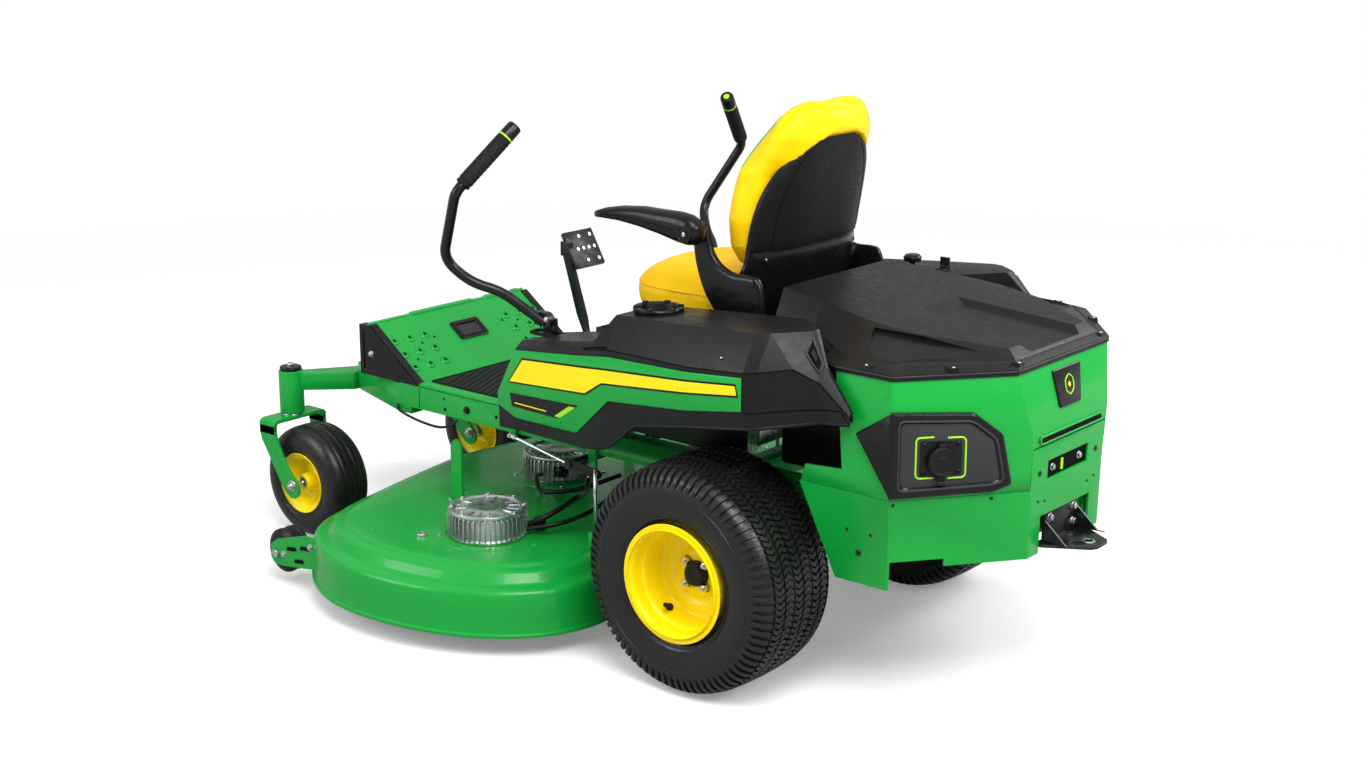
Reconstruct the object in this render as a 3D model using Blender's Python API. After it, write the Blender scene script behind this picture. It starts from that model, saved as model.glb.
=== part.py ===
"""Zero-turn riding lawn mower with a battery-electric drive.

Metres, +Z up.  The mower faces -Y, its left side is +X.  Shapes are laid out
in mower coordinates (origin on the ground under the rear axle, centre plane
at x = 0).  The parent empty moves them so that the origin is at the bottom
centre of the whole machine with the discharge chute lowered.
"""
import math
import bpy
import bmesh
from mathutils import Vector

# ------------------------------------------------------ driving dimensions
GAP = 0.0006                      # clearance between pieces that touch

REAR_R = 0.254                    # rear tyre radius
REAR_X = 0.4195                   # centre plane of a rear wheel
REAR_HALF = 0.1255                # half width over the sidewalls
REAR_AXIS = (REAR_X, 0.0, REAR_R)
AXLE_MID = (0.0, 0.0, REAR_R)     # rear axle line at the centre plane
RIM_R = 0.130                     # rear rim flange radius
RIM_SEAT_R = 0.1160
DISC_X = 0.452                    # outer face of the rear wheel disc
DISC_THICK = 0.006
STUD_CIRCLE_R = 0.036
STUD_COUNT = 4

CASTER_X = 0.320
SPINDLE_Y = -1.478
CASTER_Y = -1.387
CASTER_R = 0.147
CASTER_HALF = 0.063
CASTER_RIM_R = 0.079
CASTER_AXIS = (CASTER_X, CASTER_Y, CASTER_R)
SPINDLE_FOOT = (CASTER_X, SPINDLE_Y, 0.0)
FORK_FACE = 0.078                 # fork leg, inner face from the wheel plane
FORK_THICK = 0.009

RAIL_OUT = 0.285
RAIL_IN = 0.243

LEVER_AXIS = Vector((0.306, -0.560, 0.625))      # fore and aft pivot
LEVER_OUT_AXIS = Vector((0.318, -0.560, 0.685))  # outward pivot
SEAT_HINGE = Vector((0.0, -0.430, 0.700))
ARM_PIVOT = Vector((0.270, -0.173, 0.939))
PEDAL_PIVOT = Vector((-0.200, -0.900, 0.500))
LIFT_SHAFT = Vector((0.0, -0.475, 0.372))
LIFT_ARM = 0.090
LIFT_ANGLE = math.radians(-5)     # lift arm, from straight back
LIFT_END_Y = LIFT_SHAFT.y + LIFT_ARM * math.cos(LIFT_ANGLE)
LIFT_END_Z = LIFT_SHAFT.z + LIFT_ARM * math.sin(LIFT_ANGLE)

DECK_X = 0.445                    # outer blade spindles
DECK_Y = -0.635
DECK_MID_Y = -0.820               # middle blade spindle
SPINDLES = {"left": (DECK_X, DECK_Y), "center": (0.0, DECK_MID_Y), "right": (-DECK_X, DECK_Y)}
DECK_TOP = 0.196
DECK_RIM = 0.050
DECK_SIDE = 0.734                 # widest point of the deck plan
DECK_LIP = 0.006                  # how far the lip stands out from the plan
BLADE_R = 0.226
MOTOR_R = 0.095
MOTOR_TOP = 0.268
SCALP = Vector((0.600, -1.165, 0.080))
SCALP_R = 0.055
CHUTE_AXIS = Vector((-0.742, -0.715, 0.168))
CHUTE_TIP = -0.9395
HITCH_TIP = 0.7050

# From the rear axle to the bottom centre of the machine, reversed.
SHIFT = Vector((-(CHUTE_TIP + DECK_SIDE + DECK_LIP) / 2,
                -(CASTER_Y - CASTER_R + HITCH_TIP) / 2, 0.0))

# -------------------------------------------------------------- materials
COLOURS = {                       # name: base colour, roughness, metallic
    "paint_green": ((0.018, 0.300, 0.048), 0.32, 0.0),
    "paint_yellow": ((1.0, 0.700, 0.0), 0.35, 0.0),
    "vinyl_yellow": ((1.0, 0.720, 0.0), 0.50, 0.0),
    "plastic_black": ((0.028, 0.028, 0.031), 0.50, 0.0),
    "steel_black": ((0.012, 0.012, 0.013), 0.35, 0.3),
    "rubber": ((0.014, 0.014, 0.015), 0.75, 0.0),
    "tyre": ((0.018, 0.018, 0.019), 0.70, 0.0),
    "aluminium": ((0.52, 0.53, 0.55), 0.35, 1.0),
    "steel": ((0.45, 0.46, 0.47), 0.30, 1.0),
    "foam": ((0.02, 0.02, 0.021), 0.85, 0.0),
}


def make_material(name, colour, roughness, metallic):
    material = bpy.data.materials.new(name)
    material.use_nodes = True
    shader = material.node_tree.nodes["Principled BSDF"]
    shader.inputs["Base Color"].default_value = (*colour, 1.0)
    shader.inputs["Roughness"].default_value = roughness
    shader.inputs["Metallic"].default_value = metallic
    material.diffuse_color = (*colour, 1.0)
    return material


# ----------------------------------------------------------------- shapes
# A shape is (vertices, faces) in mower coordinates.
def finished(bm):
    """The shape held by a bmesh, its faces turned outwards."""
    bmesh.ops.recalc_face_normals(bm, faces=bm.faces)
    bm.verts.index_update()
    shape = ([tuple(v.co) for v in bm.verts], [[v.index for v in f.verts] for f in bm.faces])
    bm.free()
    return shape


def closed(verts, faces):
    bm = bmesh.new()
    made = [bm.verts.new(v) for v in verts]
    for face in faces:
        bm.faces.new([made[i] for i in face])
    return finished(bm)


def hull(points):
    bm = bmesh.new()
    for point in points:
        bm.verts.new(point)
    result = bmesh.ops.convex_hull(bm, input=bm.verts)
    loose = {v for v in result["geom_interior"] + result["geom_unused"]
             if isinstance(v, bmesh.types.BMVert) and not v.link_faces}
    bmesh.ops.delete(bm, geom=list(loose), context="VERTS")
    return finished(bm)


def loft(rings):
    """Quads between rings of equal length, closed by end faces."""
    n = len(rings[0])
    verts = [point for ring in rings for point in ring]
    faces = []
    for k in range(len(rings) - 1):
        low, high = k * n, (k + 1) * n
        for i in range(n):
            j = (i + 1) % n
            faces.append([low + i, low + j, high + j, high + i])
    faces.append(list(range(n))[::-1])
    faces.append([(len(rings) - 1) * n + i for i in range(n)])
    return closed(verts, faces)


def prism(outline, low, high, axis="z"):
    """A flat outline pushed along an axis: (x, y) for z, (y, z) for x, (x, z) for y."""
    def put(point, along):
        if axis == "z":
            return (point[0], point[1], along)
        if axis == "x":
            return (along, point[0], point[1])
        return (point[0], along, point[1])
    return loft([[put(point, along) for point in outline] for along in (low, high)])


def box(x0, x1, y0, y1, z0, z1):
    return prism([(x0, y0), (x1, y0), (x1, y1), (x0, y1)], z0, z1)


def mid_box(half_width, y0, y1, z0, z1):
    """A box across the centre plane."""
    return box(-half_width, half_width, y0, y1, z0, z1)


def turned(profile, centre, axis, n, ring=False):
    """A profile of (along, radius) turned about an x or z axis through centre.
    A solid profile starts and ends at radius 0; a ring profile is a closed loop."""
    cx, cy, cz = centre

    def put(along, radius, angle):
        c, s = radius * math.cos(angle), radius * math.sin(angle)
        if axis == "x":
            return (cx + along, cy + c, cz + s)
        return (cx + c, cy + s, cz + along)

    verts, faces, rows = [], [], []
    for along, radius in profile:
        if radius < 1e-9:
            rows.append([len(verts)])
            verts.append(put(along, 0.0, 0.0))
        else:
            rows.append(list(range(len(verts), len(verts) + n)))
            verts += [put(along, radius, 2 * math.pi * k / n) for k in range(n)]
    count = len(rows)
    for k in range(count if ring else count - 1):
        row, after = rows[k], rows[(k + 1) % count]
        for i in range(n):
            j = (i + 1) % n
            if len(row) == 1 and len(after) > 1:
                faces.append([row[0], after[i], after[j]])
            elif len(after) == 1 and len(row) > 1:
                faces.append([row[i], row[j], after[0]])
            elif len(row) > 1:
                faces.append([row[i], row[j], after[j], after[i]])
    return closed(verts, faces)


def cylinder(low, high, radius, centre, axis, n):
    return turned([(low, 0.0), (low, radius), (high, radius), (high, 0.0)], centre, axis, n)


def circle(centre, radius, side, up, n):
    """Points round a centre, in the plane of side and up."""
    return [tuple(centre + radius * (math.cos(2 * math.pi * i / n) * side
                                     + math.sin(2 * math.pi * i / n) * up))
            for i in range(n)]


def sweep(path, radius, n):
    """A round tube bent along a path, its ends closed."""
    points = [Vector(p) for p in path]
    rings = []
    side = None
    for k, point in enumerate(points):
        if k == 0:
            tangent = (points[1] - point).normalized()
        elif k == len(points) - 1:
            tangent = (point - points[k - 1]).normalized()
        else:
            tangent = ((points[k + 1] - point).normalized()
                       + (point - points[k - 1]).normalized()).normalized()
        if side is None:
            side = tangent.orthogonal().normalized()
        side = (side - tangent * side.dot(tangent)).normalized()
        rings.append(circle(point, radius, side, tangent.cross(side), n))
    return loft(rings)


def rounded_path(points, radii, steps):
    """A path with its corners turned into curves, each with its own cut-back."""
    points = [Vector(p) for p in points]
    path = [points[0]]
    for k in range(1, len(points) - 1):
        corner = points[k]
        back, ahead = points[k - 1] - corner, points[k + 1] - corner
        cut = min(radii[k - 1], back.length * 0.45, ahead.length * 0.45)
        start = corner + back.normalized() * cut
        end = corner + ahead.normalized() * cut
        for i in range(steps + 1):
            t = i / steps
            path.append((1 - t) ** 2 * start + 2 * t * (1 - t) * corner + t ** 2 * end)
    path.append(points[-1])
    return path


def with_mirror(half):
    """A half outline, then its mirror image in reverse order."""
    return half + [(-first, second) for first, second in half[::-1]]


def mirrored(shape):
    verts, faces = shape
    return [(-x, y, z) for x, y, z in verts], [face[::-1] for face in faces]


def both(shape):
    return [shape, mirrored(shape)]


def interpolate(rows, key, column):
    """A column's value at a key between rows sorted by their first column."""
    for low, high in zip(rows, rows[1:]):
        if low[0] <= key <= high[0]:
            t = (key - low[0]) / (high[0] - low[0])
            return low[column] + t * (high[column] - low[column])


# ---------------------------------------------------------------- objects
def mesh_object(name, shape, pivot):
    verts, faces = shape
    mesh = bpy.data.meshes.new(name)
    mesh.from_pydata([(x - pivot[0], y - pivot[1], z - pivot[2]) for x, y, z in verts],
                     [], faces)
    mesh.validate()
    obj = bpy.data.objects.new(name, mesh)
    obj.parent = ROOT
    obj.location = pivot
    bpy.context.scene.collection.objects.link(obj)
    return obj


def piece(name, shape, material, add=(), cut=(), pivot=(0.0, 0.0, 0.0), bevel=0.0, smooth=35):
    """One named sub-part: a shape, with others joined to it or cut from it."""
    obj = mesh_object(name, shape, pivot)
    obj.data.materials.append(MATERIALS[material])
    obj.data.shade_smooth()
    obj.data.set_sharp_from_angle(angle=math.radians(smooth))
    if bevel:
        edge = obj.modifiers.new("edge", "BEVEL")
        edge.width = bevel
        edge.segments = 1
        edge.limit_method = "ANGLE"
        edge.angle_limit = math.radians(40)
    for kind, shapes in (("UNION", add), ("DIFFERENCE", cut)):
        for k, tool in enumerate(shapes):
            helper = mesh_object(f"helper_{name}_{kind.lower()}_{k}", tool, pivot)
            helper.hide_render = True
            helper.display_type = "WIRE"
            boolean = obj.modifiers.new(f"{kind.lower()}_{k}", "BOOLEAN")
            boolean.operation = kind
            boolean.object = helper


def pair(name, shape, material, add=(), cut=(), pivot=(0.0, 0.0, 0.0), **more):
    """The left piece and its mirror on the right."""
    piece(name + "_left", shape, material, add, cut, pivot, **more)
    piece(name + "_right", mirrored(shape), material, [mirrored(s) for s in add],
          [mirrored(s) for s in cut], (-pivot[0], pivot[1], pivot[2]), **more)


# ------------------------------------------------------------- main frame
CROSS_MEMBERS = [                 # half width, y from, y to, z from, z to
    (0.165, -1.344, -1.302, 0.376, 0.444),
    (0.250, -1.080, -1.045, 0.396, 0.445),
    (0.250, -0.560, -0.525, 0.396, 0.445),
    (0.250, -0.055, 0.000, 0.396, 0.445),
    (0.290, 0.350, 0.394, 0.380, 0.448),
    (0.120, 0.380, 0.590, 0.372, 0.438),
]


def main_frame():
    rail = box(RAIL_IN, RAIL_OUT, -1.100, 0.395, 0.392, 0.449)
    nose = prism([(RAIL_OUT, -1.105), (0.205, -1.345), (0.160, -1.345), (0.160, -1.300),
                  (RAIL_IN, -1.060), (RAIL_OUT, -1.060)], 0.374, 0.4465)
    rear_upright = box(0.110, 0.135, 0.480, 0.600, 0.372, 0.560)
    piece("main_frame", rail, "paint_green",
          add=[mirrored(rail), *both(nose), *[mid_box(*row) for row in CROSS_MEMBERS],
               *both(rear_upright)])


# ------------------------------------------------- front axle and casters
AXLE_FRONT, AXLE_BACK = -1.396, -1.3460
AXLE_Z = (0.374, 0.420)
FORK_LEG = [                      # y, z
    (-1.512, 0.306), (-1.512, 0.268), (-1.424, 0.128), (-1.406, 0.110), (-1.380, 0.108),
    (-1.362, 0.124), (-1.362, 0.150), (-1.400, 0.180), (-1.446, 0.262), (-1.446, 0.306),
]
# Profiles are (along the axis, radius).
SPINDLE_TUBE = [(0.312, 0.0150), (0.312, 0.032), (0.425, 0.032), (0.425, 0.0150)]
FORK_STEM = [
    (0.300, 0.0), (0.300, 0.0135), (0.4275, 0.0135), (0.4275, 0.027), (0.434, 0.027),
    (0.437, 0.022), (0.437, 0.010), (0.444, 0.010), (0.444, 0.0),
]
CASTER_AXLE = with_mirror([(-0.101, 0.0), (-0.101, 0.012), (-0.088, 0.012), (-0.088, 0.0080)])
CASTER_TYRE = with_mirror([
    (-0.040, CASTER_RIM_R - 0.010), (-0.056, CASTER_RIM_R), (-CASTER_HALF, 0.108),
    (-0.052, 0.137), (-0.022, CASTER_R),
]) + [(0.042, 0.120), (0.0, 0.134), (-0.042, 0.120)]
CASTER_RIM = with_mirror([
    (0.050, 0.0100), (0.050, 0.022), (0.012, 0.026), (0.012, 0.052), (0.040, 0.0620),
    (0.0600, 0.0765), (0.0600, 0.0795), (0.0575, 0.0795), (0.0420, 0.0672),
])


def front_axle():
    """A beam with an arm out to a spindle tube on each side."""
    tube = turned(SPINDLE_TUBE, SPINDLE_FOOT, "z", 20, ring=True)
    along = Vector((0.205 - CASTER_X, -1.362 - SPINDLE_Y, 0.0)).normalized()
    across = Vector((-along.y, along.x, 0.0)) * 0.019
    start = Vector(SPINDLE_FOOT) + along * 0.024
    arm = prism([(start + across)[:2], (start - across)[:2],
                 (0.218, AXLE_BACK), (0.170, AXLE_BACK), (0.170, AXLE_FRONT)], *AXLE_Z)
    piece("front_axle", tube, "paint_green",
          add=[*both(arm), mirrored(tube), mid_box(0.200, AXLE_FRONT, AXLE_BACK, *AXLE_Z)])


def caster_forks():
    face_out, face_in = CASTER_X + FORK_FACE, 2 * CASTER_X - (CASTER_X + FORK_FACE)
    crown = box(face_in - 0.004, face_out + 0.004, -1.512, -1.446, 0.291, 0.308)
    pair("caster_fork", crown, "paint_green",
         add=[prism(FORK_LEG, face_out, face_out + FORK_THICK, "x"),
              prism(FORK_LEG, face_in - FORK_THICK, face_in, "x"),
              turned(FORK_STEM, SPINDLE_FOOT, "z", 14),
              turned(CASTER_AXLE, CASTER_AXIS, "x", 10)],
         pivot=SPINDLE_FOOT)


def caster_wheels():
    pair("caster_tyre", turned(CASTER_TYRE, CASTER_AXIS, "x", 24, ring=True), "tyre",
         pivot=CASTER_AXIS)
    pair("caster_rim", turned(CASTER_RIM, CASTER_AXIS, "x", 20, ring=True), "paint_yellow",
         pivot=CASTER_AXIS)


# ------------------------------------------------------------ rear wheels
# Profiles are (x, radius): tyre and rim from the wheel plane, the others
# from the centre plane of the mower.
REAR_TYRE = with_mirror([
    (-0.086, 0.230), (-0.110, 0.180), (-0.098, 0.1175), (-0.114, 0.1200), (-REAR_HALF, 0.175),
    (-0.117, 0.222), (-0.092, 0.2460), (-0.040, REAR_R),
])
DISC_OUT = DISC_X - REAR_X
REAR_RIM = [
    (DISC_OUT - DISC_THICK, 0.0285), (DISC_OUT - DISC_THICK, 0.070), (DISC_OUT - 0.020, 0.104),
    (-0.1140, 0.106), (-0.1225, 0.1220), (-0.1225, RIM_R), (-0.1200, RIM_R), (-0.1175, 0.1205),
    (-0.110, RIM_SEAT_R), (0.110, RIM_SEAT_R), (0.1175, 0.1205), (0.1200, RIM_R),
    (0.1225, RIM_R), (0.1225, 0.1220), (0.1140, 0.108), (DISC_OUT - 0.008, 0.106),
    (DISC_OUT, 0.070), (DISC_OUT, 0.0285),
]
HUB_FACE = DISC_X - DISC_THICK - GAP
HUB = [
    (0.2655, 0.0), (0.2655, 0.018), (0.405, 0.018), (0.420, 0.052), (HUB_FACE, 0.052),
    (HUB_FACE, 0.0275), (DISC_X + 0.016, 0.0275), (DISC_X + 0.022, 0.022), (DISC_X + 0.022, 0.0),
]
WHEEL_NUT = [                     # stud through the disc, with the nut outside
    (DISC_X - 0.012, 0.0), (DISC_X - 0.012, 0.0060), (DISC_X + GAP, 0.0060),
    (DISC_X + GAP, 0.0105), (DISC_X + 0.011, 0.0105), (DISC_X + 0.017, 0.0060),
    (DISC_X + 0.017, 0.0),
]
DRIVE_MOTOR = [
    (0.120, 0.0), (0.120, 0.070), (0.128, 0.078), (0.205, 0.078), (0.212, 0.092),
    (0.240, 0.092), (0.246, 0.060), (0.246, 0.040), (0.262, 0.034), (0.262, 0.0),
]


def rear_wheels():
    pair("rear_tyre", turned(REAR_TYRE, REAR_AXIS, "x", 32, ring=True), "tyre", pivot=REAR_AXIS)
    angles = [math.pi / 4 + k * 2 * math.pi / STUD_COUNT for k in range(STUD_COUNT)]
    studs = [(0.0, STUD_CIRCLE_R * math.cos(angle), REAR_R + STUD_CIRCLE_R * math.sin(angle))
             for angle in angles]
    holes = [cylinder(DISC_X - 0.03, DISC_X + 0.02, 0.0080, stud, "x", 8) for stud in studs]
    pair("rear_rim", turned(REAR_RIM, REAR_AXIS, "x", 24, ring=True), "paint_yellow",
         cut=holes, pivot=REAR_AXIS)
    pair("rear_hub", turned(HUB, AXLE_MID, "x", 16), "steel",
         add=[turned(WHEEL_NUT, stud, "x", 6) for stud in studs], pivot=REAR_AXIS)


def drive_units():
    pair("drive_unit", turned(DRIVE_MOTOR, AXLE_MID, "x", 16), "aluminium",
         add=[box(0.130, 0.235, -0.050, 0.050, REAR_R, 0.390)])


# ------------------------------------------------------ floor and batteries
PLATFORM = [                      # y, z
    (-0.462, 0.4560), (-1.038, 0.4560), (-1.204, 0.5790), (-1.224, 0.5790), (-1.224, 0.5730),
    (-1.206, 0.5730), (-1.040, 0.4500), (-0.462, 0.4500),
]
PLATFORM_EDGE = [(-1.036, 0.4500), (-1.205, 0.5740), (-1.240, 0.5740), (-1.240, 0.4500)]  # y, z


def foot_platform():
    """The floor sheet, two ears for the lift pedal and a web under each front side."""
    ears = [box(x0, x1, -0.916, -0.884, 0.454, 0.516)
            for x0, x1 in ((-0.2230, -0.2165), (-0.1835, -0.1770))]
    piece("foot_platform", prism(PLATFORM, -0.278, 0.278, "x"), "paint_green",
          add=[*ears, *both(prism(PLATFORM_EDGE, 0.2600, 0.2800, "x"))])


def seat_support():
    """A U-shaped wall in plan, open to the rear."""
    outer, wall = 0.276, 0.006
    inner = outer - wall
    outline = with_mirror([(inner, -0.440), (inner, -0.010), (outer, -0.010), (outer, -0.446)])
    piece("seat_support", prism(outline, 0.4640, 0.6900), "plastic_black")


def electrics():
    piece("battery_pack", mid_box(0.215, 0.035, 0.345, 0.4500, 0.700), "plastic_black",
          bevel=0.006)
    piece("motor_controller", mid_box(0.150, -0.370, -0.070, 0.4500, 0.560), "aluminium",
          bevel=0.004)


# ------------------------------------------------------------------- seat
CUSHION_Y = -0.268
CUSHION = [                       # half width, half depth, z
    (0.200, 0.190, 0.7206), (0.222, 0.208, 0.745), (0.224, 0.208, 0.790), (0.200, 0.186, 0.826),
]
BACK_CUSHION = [                  # z, half width, thickness
    (0.832, 0.160, 0.055), (0.880, 0.200, 0.095), (0.960, 0.216, 0.110),
    (1.050, 0.206, 0.100), (1.120, 0.186, 0.088), (1.153, 0.172, 0.083),
    (1.184, 0.154, 0.078), (1.222, 0.118, 0.062), (1.238, 0.070, 0.036),
]
BACK_SHELL = [                    # z, half width, thickness
    (0.800, 0.196, 0.014), (0.860, 0.196, 0.030), (0.960, 0.190, 0.0325),
    (1.050, 0.176, 0.0325), (1.110, 0.150, 0.0325), (1.148, 0.100, 0.0325),
]
SHELL_FOOT = [                    # y front, y rear, z
    (-0.038, -0.002, 0.7106), (-0.050, -0.026, 0.8060),
]
SEAT_BRACKET = [                  # y, z
    (-0.030, 0.7206), (-0.120, 0.760), (-0.190, 0.860), (-0.192, 0.945), (-0.178, 0.958),
    (-0.158, 0.952), (-0.140, 0.880), (-0.075, 0.810), (-0.002, 0.790), (0.000, 0.7206),
]
ARMREST = [                       # y, z
    (-0.445, 0.955), (-0.400, 0.971), (-0.300, 0.985), (-0.205, 0.984), (-0.165, 0.972),
    (-0.145, 0.940), (-0.160, 0.914), (-0.195, 0.912), (-0.300, 0.933), (-0.430, 0.946),
]


def seat_pan():
    piece("seat_pan", mid_box(0.205, -0.425, -0.035, 0.700, 0.710), "steel_black",
          add=[cylinder(-0.150, 0.150, 0.008, SEAT_HINGE, "x", 12)], pivot=SEAT_HINGE)


def oval(centre_y, half_width, half_depth, z, power):
    """A level superellipse; a higher power gives squarer corners."""
    n = 24
    ring = []
    for i in range(n):
        angle = 2 * math.pi * i / n
        c, s = math.cos(angle), math.sin(angle)
        ring.append((half_width * math.copysign(abs(c) ** (2 / power), c),
                     centre_y + half_depth * math.copysign(abs(s) ** (2 / power), s), z))
    return ring


def shell_y(z):
    """Rear surface of the seat back, leaning rearwards."""
    return -0.037 + (z - 0.822) * 0.174


def seat_cushions():
    rings = [oval(CUSHION_Y, half_width, half_depth, z, 2.6)
             for half_width, half_depth, z in CUSHION]
    piece("seat_cushion", loft(rings), "vinyl_yellow", smooth=50)
    rings = []
    for z, half_width, thick in BACK_CUSHION:
        rear = shell_y(z) - 0.0335
        if z > 1.160:             # above the shell the cushion reaches further back
            rear += 0.026
        rings.append(oval(rear - thick / 2, half_width, thick / 2, z, 3.0))
    piece("seat_back_cushion", loft(rings), "vinyl_yellow", smooth=60)


def seat_back_shell():
    rings = []
    for z, half, thick in BACK_SHELL:
        y = shell_y(z)
        rings.append([(-half, y - thick, z), (half, y - thick, z), (half, y - thick * 0.4, z),
                      (half - 0.02, y, z), (-half + 0.02, y, z), (-half, y - thick * 0.4, z)])
    half = 0.240
    foot = loft([[(-half, front, z), (half, front, z), (half, rear, z), (-half, rear, z)]
                 for front, rear, z in SHELL_FOOT])
    piece("seat_back_shell", loft(rings), "plastic_black",
          add=[*both(prism(SEAT_BRACKET, 0.2330, 0.2410, "x")), foot,
               mid_box(0.170, -0.410, -0.020, 0.7106, 0.7200)])


def armrests():
    pair("armrest", prism(ARMREST, 0.2420, 0.2960, "x"), "plastic_black", pivot=ARM_PIVOT,
         bevel=0.008)


# ---------------------------------------------------------- body and cover
BODY_WALL = 0.006
SIDE_CORNER = (0.390, 0.432)      # x, y where the side meets the rear quarter
REAR_CORNERS = [                  # z, x, y where the rear quarter meets the rear face
    (0.300, 0.149, 0.613),
    (0.490, 0.150, 0.615),
    (0.610, 0.157, 0.617),
    (0.735, 0.187, 0.593),
]
BODY_STATIONS = [                 # z, y of the front edge
    (0.4910, 0.218), (0.528, 0.228), (0.534, 0.318), (0.610, 0.312), (0.7350, 0.298),
]
BUMPER_STATIONS = [(0.3020, 0.308), (0.4898, 0.214), (0.5750, 0.330)]  # as above
COVER_RIM = with_mirror([         # x, y
    (0.262, 0.020), (0.278, 0.135), (0.360, 0.236), (0.3920, 0.298), (0.3925, 0.433),
    (0.1885, 0.596),
])
COVER_TOP = with_mirror([         # x, y
    (0.205, 0.030), (0.215, 0.140), (0.240, 0.245), (0.246, 0.300), (0.232, 0.400),
    (0.155, 0.552),
])


def rear_corner(z):
    return interpolate(REAR_CORNERS, z, 1), interpolate(REAR_CORNERS, z, 2)


def body_ring(z, front):
    """A U in plan: side, rear quarter, rear face, and back round on the inside."""
    side_x, side_y = SIDE_CORNER
    rear_x, rear_y = rear_corner(z)
    inner_x = side_x - BODY_WALL
    outer = with_mirror([(side_x, front), (side_x, side_y), (rear_x, rear_y)])
    inner = with_mirror([(inner_x, front), (inner_x, side_y - BODY_WALL * 0.5),
                         (rear_x - BODY_WALL * 0.4, rear_y - BODY_WALL)])
    return [(x, y, z) for x, y in outer + inner[::-1]]


def rear_body_panel():
    piece("rear_body_panel", loft([body_ring(*row) for row in BODY_STATIONS]), "paint_green",
          cut=[mid_box(0.1530, 0.560, 0.660, 0.4800, 0.5785)])


def rear_bumper():
    """The lower body, rising between the quarters to fill the panel's rear opening."""
    above_quarter = box(0.1512, 0.600, 0.100, 0.800, 0.4902, 0.700)
    quarter_notch = prism([(0.372, 0.418), (0.280, 0.487), (0.318, 0.540), (0.410, 0.470)],
                          0.200, 0.361)
    piece("rear_bumper", loft([body_ring(*row) for row in BUMPER_STATIONS]), "paint_green",
          cut=[*both(above_quarter),
               mid_box(0.300, 0.500, 0.800, 0.200, 0.345),
               mid_box(0.104, 0.570, 0.800, 0.200, 0.425),
               mid_box(0.085, 0.570, 0.800, 0.500, 0.540),
               *both(quarter_notch)])


def cover_ring(z, inset):
    return [(x - math.copysign(inset, x), y - inset * (1 if y > 0.300 else -1) * 0.8, z)
            for x, y in COVER_RIM]


def rear_cover():
    """A hollow lid whose top slopes down to the rear."""
    top = [(x, y, 0.7780 + (0.552 - y) * 0.115) for x, y in COVER_TOP]
    hollow_top = [(x * 0.94, y * 0.97 + 0.008, z - 0.008) for x, y, z in top]
    cover = loft([cover_ring(0.7356, 0.0), cover_ring(0.748, 0.0), cover_ring(0.7535, 0.014),
                  top])
    hollow = loft([cover_ring(0.7200, 0.010), cover_ring(0.7440, 0.012), hollow_top])
    piece("rear_cover", cover, "plastic_black", cut=[hollow])


# ------------------------------------------------------------- charge port
# On the left rear quarter. Positions run along the body from the side corner.
QUARTER_FACE = [                  # fraction of the quarter, z
    (0.0, 0.674), (0.60, 0.666), (0.78, 0.620), (0.85, 0.512), (0.72, 0.4985), (0.0, 0.4965),
]
SIDE_FACE = [(-0.26, 0.618), (0.030, 0.674), (0.030, 0.4965)]  # along, z
CAP_PLACE = (0.34, 0.572)         # fraction of the quarter, z
CAP_RADIUS = 0.030
CAP_STRAP = [(-0.007, -0.046), (0.007, -0.046), (0.007, -0.020), (-0.007, -0.020)]


def quarter_point(t, z, out):
    """A point off the rear quarter: t from the side corner (0) to the rear corner (1)."""
    side_x, side_y = SIDE_CORNER
    rear_x, rear_y = rear_corner(z)
    point = Vector((side_x + t * (rear_x - side_x), side_y + t * (rear_y - side_y), z))
    normal = Vector((rear_y - side_y, side_x - rear_x, 0.0)).normalized()
    return point + normal * out


def side_point(t, z, out):
    return Vector((SIDE_CORNER[0] + out, SIDE_CORNER[1] + t * 0.30, z))


def plate(place, outline, inner, outer):
    """A plate standing off the body between two distances."""
    return hull([place(t, z, out) for out in (inner, outer) for t, z in outline])


def charge_panel():
    piece("charge_panel", plate(quarter_point, QUARTER_FACE, 0.0030, 0.0130), "plastic_black",
          add=[plate(side_point, SIDE_FACE, 0.0030, 0.0110)])


def charge_port_cap():
    centre = quarter_point(*CAP_PLACE, 0.0140)
    normal = (quarter_point(*CAP_PLACE, 1.0) - quarter_point(*CAP_PLACE, 0.0)).normalized()
    side = Vector((-normal.y, normal.x, 0.0))

    def raised(outline, inner, outer):
        """An outline of (sideways, up) raised from the rear quarter."""
        return loft([[tuple(centre + side * across + Vector((0, 0, up)) + normal * depth)
                      for across, up in outline] for depth in (inner, outer)])

    angles = [2 * math.pi * i / 24 for i in range(24)]
    disc = [(CAP_RADIUS * math.cos(a), CAP_RADIUS * math.sin(a)) for a in angles]
    piece("charge_port_cap", raised(disc, 0.0, 0.011), "plastic_black",
          add=[raised(CAP_STRAP, 0.0008, 0.007)],
          pivot=centre + Vector((0, 0, -0.044)) + normal * 0.004)


def hitch_plate():
    outline = with_mirror([(0.092, 0.592), (0.085, 0.615), (0.034, 0.698), (0.020, HITCH_TIP)])
    piece("hitch_plate", prism(outline, 0.352, 0.358), "steel_black",
          add=[mid_box(0.070, 0.6006, 0.6070, 0.355, 0.424)],
          cut=[cylinder(0.300, 0.400, 0.009, (0.0, 0.672, 0.0), "z", 16)])


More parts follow.
